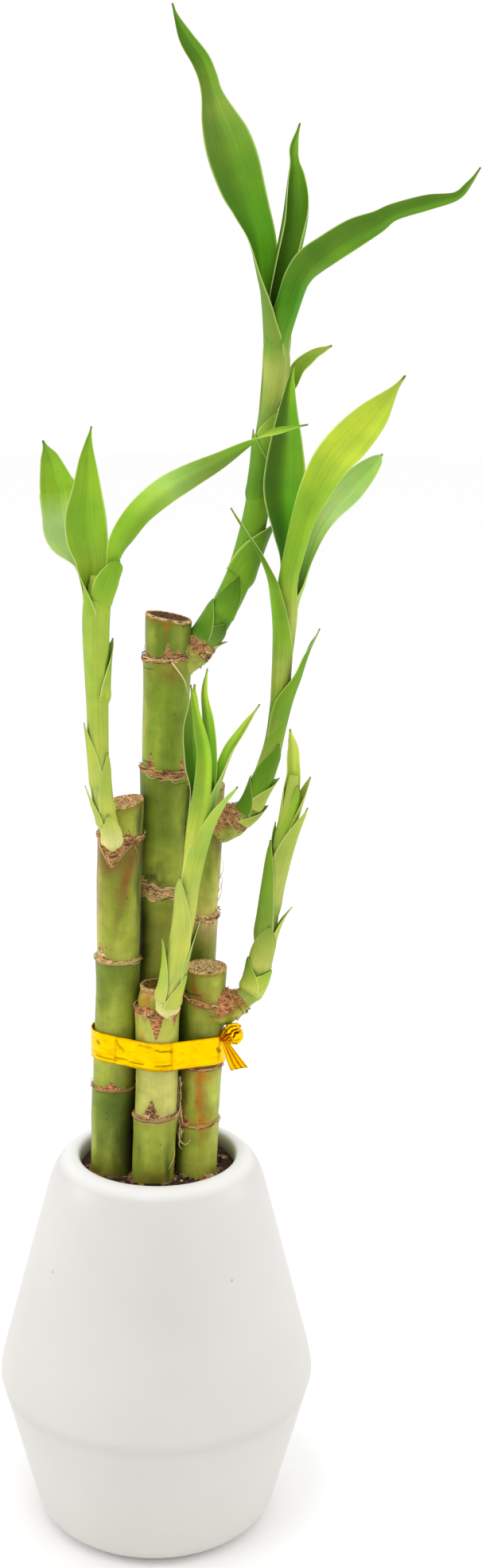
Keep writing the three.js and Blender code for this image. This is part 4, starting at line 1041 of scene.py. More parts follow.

# Each shoot: its stem as (x, y, z, radius) with the stem's tones from foot to crown, its bracts and its
# leaves. A bract is from, to, turn, wrap, flare and its two tones, foot and tip. turn is the bearing of the
# midrib round the stem, from and to are heights on the stem, wrap is the half-angle that a sheath covers,
# and flare is how far the tip stands off. A leaf is its sheath (from, to, turn, wrap), its tones from
# sheath to tip on the outside and on the inside, how much painted light one half of its blade gets and
# painted shade the other, and its places. A place is x, y, z, half-width, half-angle of the channel, and
# roll.
SHOOTS = {
    "shoot_a": {
        "stem": [
            (-13.7, -8.6, 225.6, 1), (-14, -9.8, 228, 2.5), (-14.6, -11, 232, 2.9),
            (-15.7, -12.4, 237.6, 2.9), (-17, -13.6, 244.2, 2.95), (-17.8, -14.2, 256.4, 3.05),
            (-18.1, -14.5, 280, 3.25), (-18.3, -14.5, 300, 2.95), (-18.3, -14.5, 309, 1.65),
        ],
        "tones": [CREAM, PEA, HAY, APPLE, APPLE],
        "bracts": [
            (226.4, 238.6, 12, 84, 0.2, CREAM, APPLE), (233, 247.4, -75, 60, 1.2, PEA, APPLE),
            (236, 257.2, 50, 80, 0.3, PEA, APPLE), (244, 266, -70, 100, 0.9, PEA, APPLE),
            (270, 290.4, 115, 110, 1.4, APPLE, GRASS),
        ],
        "leaves": [
            (
                (278, 300, -160, 120), [PEA, SPRING, SPRING],
                [SPRING, FROST, FROST, FROST, SPRING, SPRING, GRASS], 0.06,
                (-21.4, -9.6, 311.5, 3.6, 45, 20), (-26.6, -7, 319, 6.5, 24, 20),
                (-28.4, -4.4, 325.5, 6, 16, 15), (-29.2, -2.4, 331.4, 5.8, 14, 10),
                (-30.2, -1.2, 334.2, 4.9, 14, 10), (-32.2, 1.6, 341, 2.6, 12, 10),
                (-34.2, 3.6, 345.8, 0.4, 8, 10),
            ),
            (
                (268, 297, -100, 135), [APPLE, SPRING, APPLE], [SPRING, APPLE, SPRING, SPRING, GRASS], 0.05,
                (-19.4, -13.6, 311.5, 4.9, 42, 10), (-20.8, -14.5, 319.4, 5.9, 26, 0),
                (-21.1, -15.2, 326, 5.8, 20, 0), (-20.8, -16, 333.5, 4.1, 18, 0),
                (-20.6, -16.6, 341.5, 2.4, 15, 0), (-20.2, -16.9, 347, 0.9, 12, 0),
                (-19.4, -17, 351.4, 0.3, 8, 0),
            ),
            (
                (276, 299, 90, 120), [APPLE, SPRING, SPRING, SPRING, MINT, SAGE, GRASS, SPRING, SPRING],
                [SPRING, APPLE, SPRING], 0.08, (-13.2, -15.2, 311, 3, 60, 245),
                (-11, -17.2, 319, 3.9, 35, 215), (-6.3, -19.8, 327, 3.9, 22, 200),
                (0.8, -22.4, 333.8, 4, 18, 195), (8.2, -24.2, 338.5, 3.6, 16, 195),
                (16, -25.4, 342.8, 2.6, 16, 200), (23.6, -25.6, 347.6, 1.3, 20, 225),
                (28.4, -25, 350.3, 0.8, 20, 280), (34, -24, 351.7, 0.9, 12, 340),
                (41.2, -22.5, 353, 0.35, 5, 350),
            ),
            (
                (262, 296, 35, 130), [APPLE, APPLE, SPRING, GRASS], [SPRING, SPRING], 0,
                (-15.6, -17.4, 302, 4.6, 72, 215), (-14.2, -18.4, 307.5, 4.4, 55, 215),
                (-12.6, -18.6, 312, 2.6, 40, 215), (-12, -18.4, 314, 0.8, 20, 215),
            ),
        ],
    },
    "shoot_b": {
        "stem": [
            (10.5, 6.7, 283.5, 3.7), (14.5, 7.3, 288.6, 4.2), (19.2, 8.2, 296.1, 4.1),
            (24.1, 9.6, 306.8, 4), (27.9, 11, 321.1, 3.8), (30.2, 12, 335.2, 3.6), (31.4, 12.7, 346.8, 3.4),
            (32.9, 13, 358.3, 3.3), (34.2, 13, 369.8, 3.4), (34.9, 13, 378, 2.2),
        ],
        "tones": [HAY, GREEN, GRASS, GRASS, GRASS, SAGE, HAY, PEA],
        "bracts": [
            (284.6, 297, -62, 80, 0.3, GREEN, GRASS), (285, 293, 28, 80, 0.4, SAGE, HOLLY),
            (284, 289.6, 92, 60, 1.8, HAY, BUFF), (292, 305.4, -4, 80, 0.2, GRASS, HOLLY),
            (302, 324, 85, 165, 2.4, GRASS, GREEN), (326, 348.4, -75, 150, 0.6, GREEN, GRASS),
            (336, 354.6, 30, 150, 0.1, GRASS, APPLE),
        ],
        "leaves": [
            (
                (352, 370, -75, 130), [SAGE, SAGE, GRASS, GREEN],
                [GRASS, SPRING, EMERALD, GREEN, SAGE, GREEN, GREEN], 0.12, (30.7, 11.8, 381, 4.8, 82, 85),
                (29.4, 12.6, 392, 5.4, 66, 55), (28, 14.5, 402.9, 5.7, 50, 38),
                (25.4, 16.5, 411.1, 6.3, 36, 26), (23.2, 18, 417.3, 7, 28, 18),
                (20.9, 20, 424.9, 7.4, 22, 12), (18.7, 21, 431.5, 6.9, 20, 8),
                (16.5, 22, 437.3, 5.3, 24, 5), (14.5, 22.6, 443.8, 3.1, 34, 0),
                (13.2, 23, 448.5, 2.7, 38, -10), (11, 22.8, 453.2, 2.7, 26, -20),
                (7.2, 21, 458.3, 2.2, 20, -20), (4.1, 19, 464, 1, 15, -20),
                (2.7, 17.4, 467.5, 0.35, 5, -20),
            ),
            (
                (360, 374, 160, 120), [SAGE, GREEN, GREEN, GREEN], [HOLLY, HOLLY, GREEN, GREEN, GRASS],
                0.14, (35, 14.2, 384, 5.6, 118, 345), (36.1, 14.8, 394.4, 6.6, 128, 355),
                (38, 14.8, 406.1, 6.8, 128, 360), (38.5, 14.3, 414.3, 5.3, 105, 370),
                (38.2, 13.8, 420.9, 3, 85, 380), (38, 13.3, 424.8, 1.4, 60, 380),
                (38, 13, 429, 1.1, 40, 380), (39.6, 12.4, 435.5, 0.35, 10, 380),
            ),
            (
                (350, 366, 20, 140), [HAY, SAGE, EMERALD, GREEN, GREEN, GREEN, GREEN, SAGE], [GRASS, GREEN],
                -0.1, (34.9, 9.6, 374.4, 5.2, 92, 200), (38, 8.2, 385.3, 4.8, 80, 205),
                (40.1, 6.6, 392, 4.8, 62, 205), (43.1, 4.8, 396.5, 5, 45, 200),
                (47.4, 2.5, 400.2, 4.6, 32, 198), (54.5, -0.6, 405, 4.2, 25, 195),
                (60.7, -2.8, 408.1, 3.1, 24, 190), (65.5, -4, 411, 2.3, 28, 190),
                (74.5, -5, 413.7, 2, 24, 190), (82.5, -5, 415.4, 0.9, 40, 180),
                (86.2, -4.6, 418.9, 0.7, 30, 180), (89.2, -4, 423.3, 0.35, 5, 180),
            ),
            (
                (342, 355, 125, 120), [GRASS, SPRING], [GREEN, GRASS, APPLE], 0,
                (38.4, 15.2, 361.5, 2.7, 60, 320), (41.2, 16.8, 367, 2.2, 50, 330),
                (45.3, 18.4, 370.6, 1.5, 40, 330), (50.7, 20, 373.4, 0.35, 10, 330),
            ),
        ],
    },
    "shoot_c": {
        "stem": [
            (2.1, -12.8, 175.5, 2.6), (2.6, -15.8, 180, 3.4), (4, -17.4, 186, 3.35),
            (5.9, -18.6, 196.2, 3.05), (7.7, -19.6, 206.5, 2.95), (9.3, -20.2, 219, 2.85),
            (10.8, -20.5, 231.3, 2.75), (12.5, -20.5, 243.4, 2.35), (13.4, -20.5, 250, 1.35),
        ],
        "tones": [CREAM, PEA, PEA, APPLE],
        "bracts": [
            (178, 201, -76, 70, 2.4, PEA, SPRING), (183, 208, 96, 66, 1.2, PEA, GRASS),
            (184, 221.2, -46, 132, 1.6, PEA, PEA), (176, 184, 45, 120, 0, CREAM, PEA),
            (178, 191, 60, 80, 0.3, PEA, APPLE),
        ],
        "leaves": [
            (
                (220, 236, -150, 120), [APPLE, APPLE], [GREEN, EMERALD, GREEN, APPLE], 0.12,
                (11.4, -18.8, 247, 3, 60, 20), (10.1, -17.6, 255, 2.8, 45, 10), (9.6, -17, 264, 2.5, 35, 0),
                (9.9, -17, 271.5, 1.3, 30, 0), (10.2, -17.2, 277.7, 0.35, 10, 0),
            ),
            (
                (224, 240, 150, 110), [APPLE, APPLE], [SPRING, EMERALD, GRASS, APPLE], 0.2,
                (14.5, -19.4, 250, 2.5, 60, 340), (14.7, -18.6, 257.2, 2.2, 45, 350),
                (14, -18, 267.7, 1.5, 35, 355), (13, -17.8, 275.9, 0.7, 25, 355),
                (13.8, -17.2, 282.5, 0.35, 5, 355),
            ),
            (
                (220, 236, 75, 120), [APPLE, MINT], [SPRING, EMERALD, SPRING, APPLE], -0.1,
                (15.8, -20.2, 244, 2.9, 72, 268), (17.9, -20.4, 251.5, 2.9, 58, 285),
                (20.4, -20.4, 258.8, 2.4, 50, 298), (24, -20.6, 265.3, 1.4, 42, 300),
                (28.6, -21, 273, 0.35, 10, 300),
            ),
            (
                (216, 234, -10, 120), [PEA, APPLE, SPRING, SPRING], [APPLE, SPRING], -0.12,
                (12.4, -23.4, 246.3, 2.7, 62, 180), (13, -24.2, 256, 2.1, 45, 180),
                (11.9, -24.8, 264.5, 1.5, 35, 180), (10.4, -25, 271.6, 0.9, 25, 180),
                (8.9, -24.8, 279.3, 0.35, 5, 180),
            ),
            (
                (208, 226, 55, 130), [PEA, APPLE, MINT], [APPLE, SPRING], 0,
                (15.4, -22, 236.5, 3.2, 62, 235), (18.4, -22.4, 243, 2, 45, 240),
                (22.5, -22.8, 249, 0.35, 10, 240),
            ),
        ],
    },
    "shoot_d": {
        "stem": [
            (24, -3, 175.2, 3), (27.6, -3, 177.6, 3.4), (29.9, -3, 182, 3.6), (31.2, -3, 188, 3.4),
            (32.7, -3, 196, 3.15), (34.4, -2.5, 208.5, 2.95), (36.4, -2, 219.8, 2.85),
            (38.1, -1.5, 229.7, 2.65), (39.9, -1, 239.5, 2.25), (40.5, -1, 247, 1.5),
        ],
        "tones": [HAY, SAGE, SAGE, APPLE, PEA],
        "bracts": [
            (177, 189.6, -70, 100, 0.4, PEA, GREEN), (177, 187, 60, 165, 0.4, PEA, SPRING),
            (184, 200.8, 6, 120, 1, HAY, SAGE), (188, 206.8, 85, 75, 3.6, PEA, APPLE),
            (192, 226.6, -56, 88, 1.4, SAGE, SPRING), (206, 231.4, -120, 120, 0.5, PEA, MINT),
            (200, 238.2, 60, 150, 3.3, HAY, APPLE), (220, 244.4, 30, 100, 0.7, APPLE, SPRING),
            (224, 246.4, 105, 100, 3.4, PEA, APPLE),
        ],
        "leaves": [
            (
                (226, 240, -160, 110), [PEA, APPLE, PEA], [APPLE, SUNNY, PEA], 0.1,
                (40.2, -0.6, 245.6, 2.2, 58, 10), (40.3, -0.5, 253.5, 1.6, 50, 5),
                (39.3, 0, 260.8, 0.35, 10, 0),
            ),
        ],
    },
    "shoot_e": {
        "stem": [
            (24.6, 12.6, 229, 3.15), (27.6, 11.3, 232.8, 3.45), (30, 10.6, 238, 3.25),
            (32.9, 9.8, 246.8, 3.05), (35.1, 9, 255.7, 2.85), (36.5, 8, 268.3, 2.85),
            (37.3, 6.5, 283.3, 2.75), (38, 5, 295.6, 2.55), (38.6, 3.9, 305, 2.15), (39, 3.2, 311, 1.25),
        ],
        "tones": [HAY, SAGE, HAY, GRASS, GREEN, GRASS, GREEN],
        "bracts": [
            (228.5, 236, 95, 110, 0.9, PEA, SAGE), (230, 243, -80, 100, 0.3, GREEN, GREEN),
            (232, 244.6, 95, 140, 1.6, PEA, APPLE), (234, 255.4, 25, 140, 0.3, GRASS, GREEN),
        ],
        "leaves": [
            (
                (282, 301, -150, 120), [SAGE, GREEN], [GREEN, EMERALD, EMERALD, GREEN, GREEN, GRASS], 0.26,
                (37.9, 5.8, 311.5, 3.6, 66, 25), (37.5, 5.2, 320, 4.7, 42, 10),
                (36.4, 4.8, 330.5, 5.9, 28, 0), (36.5, 4.7, 338, 5.9, 24, 0),
                (36.8, 4.7, 346.2, 4.6, 22, 0), (37.1, 4.8, 355.3, 2.6, 20, 0), (37.8, 5, 363.3, 1, 15, 0),
                (38.8, 5.2, 368.5, 0.35, 5, 0),
            ),
            (
                (280, 297, 120, 110), [APPLE, MINT], [HOLLY, SAGE, MINT, FROST, MINT, MINT], 0.05,
                (42.3, 6.6, 304, 2.5, 72, 305), (44, 8, 311.4, 2.6, 58, 320),
                (46.4, 9.8, 318, 2.9, 45, 330), (50.5, 12.4, 324.6, 3.6, 32, 335),
                (56.4, 15.8, 331, 4.3, 24, 340), (61.7, 18.5, 336.3, 3.4, 18, 340),
                (65.3, 20.5, 339.8, 1.7, 14, 340), (67, 21.6, 341.4, 0.4, 8, 340),
            ),
            (
                (276, 294, 10, 130), [HAY, APPLE, SPRING, SPRING, SUNNY, SUNNY, APPLE], [SPRING, SPRING],
                -0.03, (38.3, -0.6, 305, 3.7, 88, 195), (39.8, -1.8, 313.2, 3.8, 80, 192),
                (42.4, -3.4, 325.1, 4.1, 60, 190), (45, -5, 332.2, 4.9, 42, 190),
                (49.2, -7.5, 340.9, 5.8, 28, 190), (54.2, -9.5, 347.5, 6, 22, 190),
                (60.5, -11.5, 355.1, 4.6, 18, 190), (64.8, -12.5, 360.8, 2, 14, 190),
                (68.9, -13, 366.4, 0.35, 5, 190),
            ),
            (
                (262, 282, -50, 130), [HAY, SPRING, SPRING, GREEN, SAGE], [SAGE, GRASS], 0.1,
                (35, 1.2, 291.6, 3.7, 72, 132), (33.9, -0.4, 300.5, 2.6, 58, 130),
                (32.8, -1.2, 305.8, 1.9, 50, 128), (30.7, -1.8, 311.5, 1, 40, 120),
                (27.6, -1.5, 317.1, 0.8, 30, 110), (24.3, -0.5, 322, 0.6, 20, 110),
                (21, 0, 327.3, 0.35, 10, 110),
            ),
            (
                (252, 267, 70, 130), [SAGE, GRASS, GRASS], [SAGE, SAGE], 0,
                (41.8, 4.6, 276.5, 2.6, 58, 255), (44.6, 6, 284, 1.5, 45, 265),
                (47.7, 8, 290.3, 0.35, 10, 270),
            ),
        ],
    },
}


def along(tones, share):
    place = min(max(share, 0), 1) * (len(tones) - 1)
    i = min(int(place), len(tones) - 2)
    return blended(tones[i], tones[i + 1], place - i)


def stem_at(line, height):
    i = max(sum(1 for place, _ in line[:-1] if place[2] < height), 1)
    (low, low_tangent), (high, high_tangent) = line[i - 1], line[i]
    share = (height - low[2]) / (high[2] - low[2])
    x, y, z, radius = blended(low, high, share)
    tangent = low_tangent.lerp(high_tangent, share).normalized()
    return Vector((x, y, z)), tangent, radius, (i - 1 + share) / (len(line) - 1)


def sheath_place(line, height, turn, angle, off):
    centre, tangent, radius, _ = stem_at(line, height)
    reach = radius + off
    point = centre + sideways(tangent, turn) * reach
    return (*point, math.radians(angle) * reach, angle, turn + 180)


def there_and_back(column, count):
    step = column % (2 * count)
    return (step, True) if step < count else (2 * count - 1 - step, False)


def channel(centre, tangent, width, angle, roll, share):
    bend = math.radians(angle)
    radius = width / bend
    inward = sideways(tangent, roll)
    out = inward * -math.cos(bend * share) + tangent.cross(inward) * math.sin(bend * share)
    return Vector(centre) + inward * radius, radius, out


def build_blade(mesh, places, steps, throat, faces, root_tone, outside, inside, painted_half_light, wave):
    line = spline(places, steps)
    shares = [-share for share in COLUMN_SHARES[:0:-1]] + list(COLUMN_SHARES)
    count = len(shares)
    last = len(line) - 1
    inner, outer, midrib = faces

    def place(column, row):
        (x, y, z, width, angle, roll), tangent = line[row]
        v = row / last
        width = max(width * (1 - 0.5 * smooth(0.88, 0.98, v)), 0.1)
        step, is_front = there_and_back(column, count)
        share = shares[step]
        axis, radius, out = channel((x, y, z), tangent, width, max(angle, LEAST_ANGLE), roll, share)
        thin = 1 - share ** 4
        half = MARGIN_THICKNESS / 2 + thin * (outer - inner - MARGIN_THICKNESS) / 2
        off = (inner + outer) / 2 + (-half if is_front else half)
        off += midrib * smooth(MIDRIB_SHARE, 0, abs(share)) * smooth(1, 3, width)
        swing = math.sin(v * FLUTTERS + FLUTTER_SHIFT * share + places[0][2])
        flutter = wave * share * share * swing * smooth(0.2, 0.5, v)
        point = axis + out * (radius + off + flutter)
        tones = inside if is_front else outside
        tone = blended(root_tone, tones[0], smooth(0, throat, v))
        blade_tone = along(tones[1:], (v - throat) / (1 - throat))
        tone = blended(tone, blade_tone, smooth(throat * 0.5, throat + 0.12, v))
        # One half of the blade lighter and the other darker: painted light and painted shade.
        side = painted_half_light * (2 * smooth(-0.5, 0.3, share) - 1) * smooth(throat, throat + 0.25, v)
        tone = [value * (1 + side) for value in tone]
        tone = blended(tone, MARGIN_TONE, 0.8 * smooth(0.95, 0.99, abs(share)))
        tone = blended(tone, EARTH, 0.8 * smooth(0.965, 0.995, v))
        return point, (share / 2 + 0.5, v), tone, BARK, 0

    sleeve(mesh, 2 * count, last, place)


def build_stem(mesh, line, tones):
    last = len(line) - 1

    def place(column, row):
        (x, y, z, radius), tangent = line[row]
        out = sideways(tangent, 360 * column / STEM_COLUMNS)
        tone = along(tones, row / last)
        return Vector((x, y, z)) + out * radius, (column / STEM_COLUMNS, row / last), tone, BARK, 0

    sleeve(mesh, STEM_COLUMNS, last, place)


def build_bract(mesh, line, stem_tones, values, lift):
    low, high, turn, wrap, flare, foot_tone, tip_tone = values
    places = [sheath_place(line, low, turn, wrap, -SHEATH_ROOT_SINK)]
    for share in BRACT_SHARES:
        angle = wrap * (1 - share ** BRACT_TAPER)
        off = lift + flare * share ** 3 - SHEATH_SINK
        places.append(sheath_place(line, low + (high - low) * share, turn, angle, off))
    places.append(sheath_place(line, high, turn, TIP_ANGLE, lift + flare - SHEATH_SINK))
    root_tone = along(stem_tones, stem_at(line, low)[3])
    tones = [foot_tone, foot_tone, tip_tone]
    build_blade(mesh, places, BRACT_STEPS, BRACT_THROAT, BRACT_FACES, root_tone, tones, tones, 0, 0)


def build_leaf(mesh, line, stem_tones, leaf):
    (low, high, turn, wrap), outside, inside, painted_half_light, *blade = leaf
    root = sheath_place(line, low, turn, wrap, -SHEATH_ROOT_SINK)
    throat = sheath_place(line, high, turn, wrap * THROAT_OPENING, -SHEATH_SINK)
    places = [root, throat, *blade]
    root_tone = along(stem_tones, stem_at(line, low)[3])
    sheathed = 1 / len(places)
    build_blade(mesh, places, LEAF_STEPS, sheathed, LEAF_FACES, root_tone, outside, inside, painted_half_light, LEAF_WAVE)


green, green_tree, green_surface = new_finish("leaf_green", Roughness=0.5, Specular_IOR_Level=0.12)
green_map = add_node(green_tree, "UVMap", uv_map="UVMap").outputs[0]
green_vein = grain(green_tree, stretched(green_tree, green_map, (46, 2.2, 1)), 1, 3, 0.6)
green_veins = ramp(green_tree, green_vein, [(0.3, 0.86), (0.7, 1.12)])
green_cloud = ramp(green_tree, grain(green_tree, object_place(green_tree), 110, 3), CLOUD_SHADES)
green_veined = times(green_tree, painted(green_tree, "tone"), green_veins)
green_shade = times(green_tree, green_veined, green_cloud)
green_tree.links.new(green_shade, green_surface.inputs["Base Color"])
relief(green_tree, green_surface, green_vein, 0.25, 0.0004)

for name, shoot in SHOOTS.items():
    shoot_mesh = bmesh.new()
    stem_line = spline(shoot["stem"], STEM_STEPS)
    build_stem(shoot_mesh, stem_line, shoot["tones"])
    for i, values in enumerate(shoot["bracts"]):
        build_bract(shoot_mesh, stem_line, shoot["tones"], values, BRACT_LIFTS[i % len(BRACT_LIFTS)])
    for leaf in shoot["leaves"]:
        build_leaf(shoot_mesh, stem_line, shoot["tones"], leaf)
    close_ends(shoot_mesh)
    finished(shoot_mesh, name + "_leaves", green, "leaf", name)

# Ribbon: a band of gold foil film wound once round all five canes and pulled tight, so that it lies on the
# outer canes and spans the gaps between them. It overlaps itself at a cross fold, and is creased and slit.
RIBBON_MIDDLE = 161.8
RIBBON_HEIGHT = 9.2
RIBBON_FALL = 0.03
RIBBON_THICKNESS = 0.6
RIBBON_COLUMNS = 280
RIBBON_ROWS = 44
OUTLINE_STEPS = 720
CONTACT_GAP = 0.35
FOLD_BUMP = 0.22
FOIL_HALF = 0.14
MARK_SINK = 0.2
GOLD = (250, 206, 0)
HONEY = (216, 142, 0)
# UMBER is painted shade in the foil's creases, slits, knot valleys and pleat folds.
UMBER = (96, 52, 6)

# Marks on the front of the band, sunk into it and painted umber as shade in its creases and slits: from x and
# rise to x and rise, half-width and strength.
# Folds across it: x and slant.
RIBBON_MARKS = [
    (-0.5, 2.3, 4.2, 1.7, 0.2, 0.9), (-13, -2.4, -4.6, -2.9, 0.17, 0.8), (-0.6, -2.9, 4, -2.7, 0.17, 0.8),
    (-19, -3.2, -10.5, -3.5, 0.14, 0.6), (-12.6, 3.4, -11.4, 1.2, 0.3, 0.5),
    (-11.8, 2, -10.4, 0.4, 0.25, 0.5), (-5.6, 3.3, -2.4, 3.2, 0.28, 0.5),
    (-18.6, 1.6, -18.1, 1.2, 0.3, 0.8), (18.2, 0.8, 18.8, -0.4, 0.35, 0.7),
    (-7.5, -4.1, 1.5, -4.2, 0.12, 0.5), (4.4, -3.9, 4.4, 2.8, 0.12, 0.35),
]
RIBBON_FOLDS = [(-12.6, 0.05), (4.4, -0.02)]


def ribbon_outline(distance):
    shape = []
    for i in range(OUTLINE_STEPS):
        bearing = math.tau * i / OUTLINE_STEPS
        out = Vector((math.cos(bearing), math.sin(bearing)))
        reached = []
        for cane in CANES.values():
            for end in (-1, 1):
                centre = at_height(cane["route"], RIBBON_MIDDLE + end * RIBBON_HEIGHT / 2)
                reached.append(Vector(centre[:2]) + out * (cane["radius"] + distance))
        shape.append(max(reached, key=lambda point: point.dot(out)))
    lengths = [0]
    for a, b in zip(shape, shape[1:] + shape[:1]):
        lengths.append(lengths[-1] + (b - a).length)
    even = []
    i = 0
    for step in range(RIBBON_COLUMNS):
        goal = lengths[-1] * step / RIBBON_COLUMNS
        while lengths[i + 1] < goal:
            i += 1
        share = (goal - lengths[i]) / max(lengths[i + 1] - lengths[i], 1e-9)
        even.append(shape[i].lerp(shape[(i + 1) % len(shape)], share))
    return even


ribbon_line = ribbon_outline(CONTACT_GAP + RIBBON_THICKNESS / 2)


def mark_depth(x, rise):
    depth = 0
    for x_from, rise_from, x_to, rise_to, half, strength in RIBBON_MARKS:
        start = Vector((x_from, rise_from))
        run = Vector((x_to, rise_to)) - start
        share = min(max((Vector((x, rise)) - start).dot(run) / run.length_squared, 0), 1)
        gap = (Vector((x, rise)) - start - run * share).length + 0.12 * ripple(x * 2, rise * 2, 9)
        depth = max(depth, strength * (1 - smooth(half * 0.6, half * 1.8, gap)))
    return depth


def ribbon_place(column, row):
    i = column % RIBBON_COLUMNS
    point = ribbon_line[i]
    side = ribbon_line[(i + 1) % RIBBON_COLUMNS] - ribbon_line[i - 1]
    out = Vector((side.y, -side.x)).normalized()
    half_rows = RIBBON_ROWS // 2
    is_outside = row % RIBBON_ROWS < half_rows
    level = (row % half_rows) / (half_rows - 1)
    level = level if is_outside else 1 - level
    rise = (level - 0.5) * RIBBON_HEIGHT
    off = 0.1 * ripple(point.x / 3, point.y / 3, rise / 9) + 0.05 * ripple(point.x, point.y, rise / 1.5)
    depth = 0
    tone = GOLD
    if point.y < 0:
        depth = mark_depth(point.x, rise)
        for x, slant in RIBBON_FOLDS:
            from_fold = point.x - x - slant * rise
            off += FOLD_BUMP * smooth(-0.3, 0.1, from_fold) * math.exp(-max(from_fold, 0) / 2.5)
            # A honey line at the foot of each fold: painted shade under the fold's raised edge.
            tone = blended(tone, HONEY, 0.7 * bell(from_fold + 0.35, 0.3))
    warm = smooth(0.1, 0.5, ripple(point.x / 4, point.y / 4, rise / 0.9))
    tone = blended(tone, HONEY, 0.35 * warm + 0.4 * smooth(0.42, 0.5, abs(level - 0.5)))
    off += (FOIL_HALF if is_outside else -FOIL_HALF) - MARK_SINK * depth
    ragged = 0.12 * ripple(point.x / 5, point.y / 5, 8.0 * round(level)) * abs(2 * level - 1)
    place = point + out * off
    z = RIBBON_MIDDLE + rise * 0.98 + ragged - RIBBON_FALL * place.x
    return Vector((place.x, place.y, z)), (column / RIBBON_COLUMNS, level), tone, UMBER, depth


foil, foil_tree, foil_surface = new_finish("gold_foil", Roughness=0.3, Metallic=1.0)
foil_crease = grain(foil_tree, object_place(foil_tree), 420, 3, 0.6)
foil_sheen = ramp(foil_tree, foil_crease, [(0.3, 0.9), (0.6, 1.04)])
foil_shine = times(foil_tree, painted(foil_tree, "tone"), foil_sheen)
# Umber from the dry attribute, by the scar share, is painted shade in the foil's creases.
foil_with_painted_crease_shade = mix(foil_tree, painted(foil_tree, "scar", 2), foil_shine, painted(foil_tree, "dry"))
foil_tree.links.new(foil_with_painted_crease_shade, foil_surface.inputs["Base Color"])
relief(foil_tree, foil_surface, foil_crease, 0.3, 0.0005)

ribbon_mesh = bmesh.new()
sleeve(ribbon_mesh, RIBBON_COLUMNS, RIBBON_ROWS, ribbon_place)
bmesh.ops.recalc_face_normals(ribbon_mesh, faces=ribbon_mesh.faces)
finished(ribbon_mesh, "ribbon_band", foil, "gold_foil", "ribbon")

# Knot: where the foil is twisted and tied at the right, crumpled in a small hard ball with sharp creases
# and a neck that runs back to the band.
KNOT_RADIUS = 3
KNOT_BEARING = -25
KNOT_RISE = 5
KNOT_NECK = Vector((-0.82, 0.1, -0.56)).normalized()
KNOT_FOLDS = 11
KNOT_FINENESS = 6

knot_reach = CANES["cane_d"]["radius"] + 2 * CONTACT_GAP + RIBBON_THICKNESS + KNOT_RADIUS
knot_turn = math.radians(KNOT_BEARING)
knot_centre = Vector(at_height(CANES["cane_d"]["route"], RIBBON_MIDDLE))
knot_centre += Vector((knot_reach * math.cos(knot_turn), knot_reach * math.sin(knot_turn), KNOT_RISE))
knot_side = KNOT_NECK.orthogonal().normalized()
knot_up = KNOT_NECK.cross(knot_side)
knot_mesh = bmesh.new()
knot_tone = layer(knot_mesh.verts.layers.float_color, "tone")
knot_shade_tone = layer(knot_mesh.verts.layers.float_color, "dry")
knot_shade_share = layer(knot_mesh.verts.layers.float, "scar")
bmesh.ops.create_icosphere(knot_mesh, subdivisions=KNOT_FINENESS, radius=KNOT_RADIUS)
for corner in knot_mesh.verts:
    out = corner.co.normalized()
    bearing = math.atan2(out.dot(knot_up), out.dot(knot_side))
    fold = abs((bearing / math.tau * KNOT_FOLDS + 0.55 * ripple(*(out * 1.6))) % 1 * 2 - 1)
    outward = -out.dot(KNOT_NECK)
    valley = smooth(0.42, 0, fold) * (1 - outward ** 6)
    corner.co *= 0.9 + 0.2 * fold - 0.3 * valley + 0.28 * ripple(*(out * 1.5)) + 0.1 * ripple(*(out * 5))
    corner.co += KNOT_NECK * (1.5 * smooth(0.6, 1, -outward) + 0.9 * smooth(0.75, 1, outward))
    # Darker honey in the fold valleys, at the neck and towards the outer end, and umber deep in the valleys:
    # painted shade.
    knot_painted_shade = max(smooth(0.1, 0.6, valley), smooth(0.3, 0.9, -outward), 0.8 * smooth(0.8, 1, outward))
    corner[knot_tone] = paint(*blended(GOLD, HONEY, knot_painted_shade))
    corner[knot_shade_tone] = paint(*UMBER)
    corner[knot_shade_share] = 0.95 * smooth(0.55, 0.95, valley)
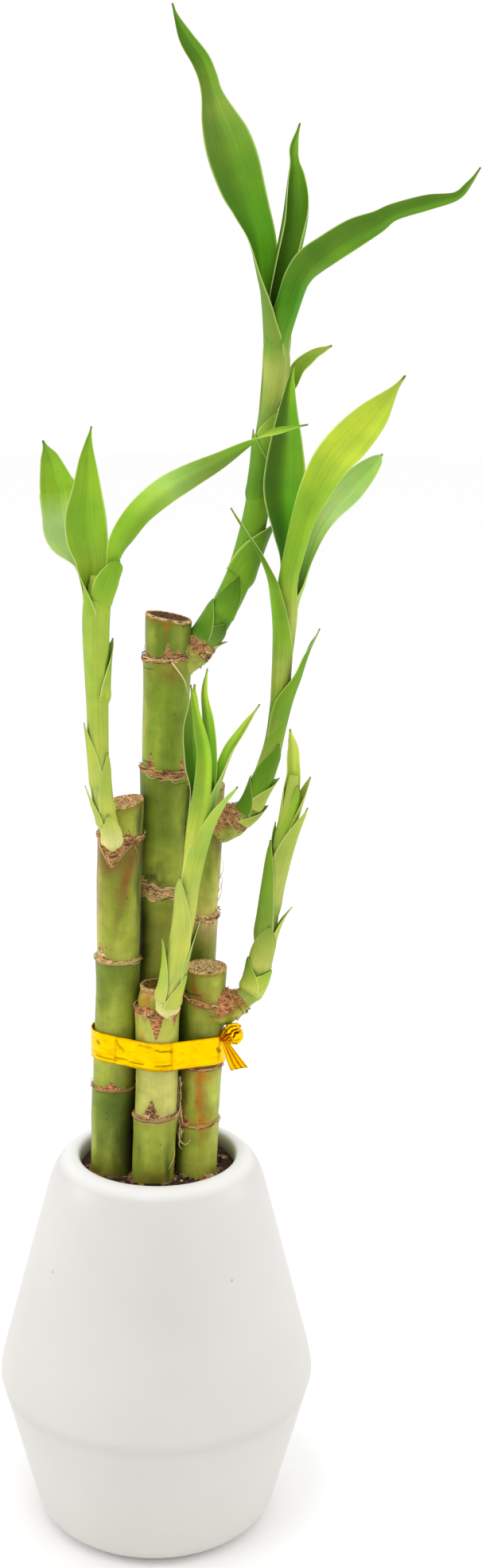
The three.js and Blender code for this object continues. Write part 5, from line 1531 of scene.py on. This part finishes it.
bmesh.ops.translate(knot_mesh, vec=knot_centre, verts=knot_mesh.verts)
bmesh.ops.recalc_face_normals(knot_mesh, faces=knot_mesh.faces)
finished(knot_mesh, "knot_crumple", foil, "gold_foil", "ribbon_knot")

# Tail: the loose end of the same foil film. It comes out of the knot gathered, hangs below it, and spreads
# in lengthwise pleats.
# Its middle line from the centre of the knot: x, y, z and half-width.
TAIL = [(-3.3, -0.5, -2.2, 0.7), (-1.7, -0.9, -5.2, 1.5), (-0.1, -1.2, -8.3, 2.3), (1.7, -1.5, -11.4, 3)]
TAIL_ANGLE = 20
TAIL_ROLL = 0
TAIL_COLUMNS = 36
TAIL_STEPS = 8
TAIL_PLEATS = 1.7
TAIL_HALF = 0.12
TAIL_SLANT = 1.0

tail_places = [(knot_centre.x + x, knot_centre.y + y, knot_centre.z + z, width) for x, y, z, width in TAIL]
tail_line = spline(tail_places, TAIL_STEPS)


def tail_place(column, row):
    (x, y, z, width), tangent = tail_line[row]
    down = row / (len(tail_line) - 1)
    step, is_front = there_and_back(column, TAIL_COLUMNS)
    share = 2 * step / (TAIL_COLUMNS - 1) - 1
    axis, radius, out = channel((x, y, z), tangent, width, TAIL_ANGLE, TAIL_ROLL, share)
    pleat = abs(((share * TAIL_PLEATS + 0.35) % 1) * 2 - 1)
    off = 0.3 + 0.26 * (pleat - 0.5) * min(width, 2) + (-TAIL_HALF if is_front else TAIL_HALF)
    point = axis + out * (radius + off)
    point.z += TAIL_SLANT * share * row / (len(tail_line) - 1)
    # Honey towards each pleat's sharp fold and umber along it: painted shade in the pleats.
    tone = blended(GOLD, HONEY, 0.8 * smooth(0.4, 0.9, pleat))
    depth = 0.8 * smooth(0.86, 0.98, pleat)
    return point, (share / 2 + 0.5, down), tone, UMBER, depth


tail_mesh = bmesh.new()
sleeve(tail_mesh, 2 * TAIL_COLUMNS, len(tail_line) - 1, tail_place)
close_ends(tail_mesh)
finished(tail_mesh, "tail_foil", foil, "gold_foil", "ribbon_tail")
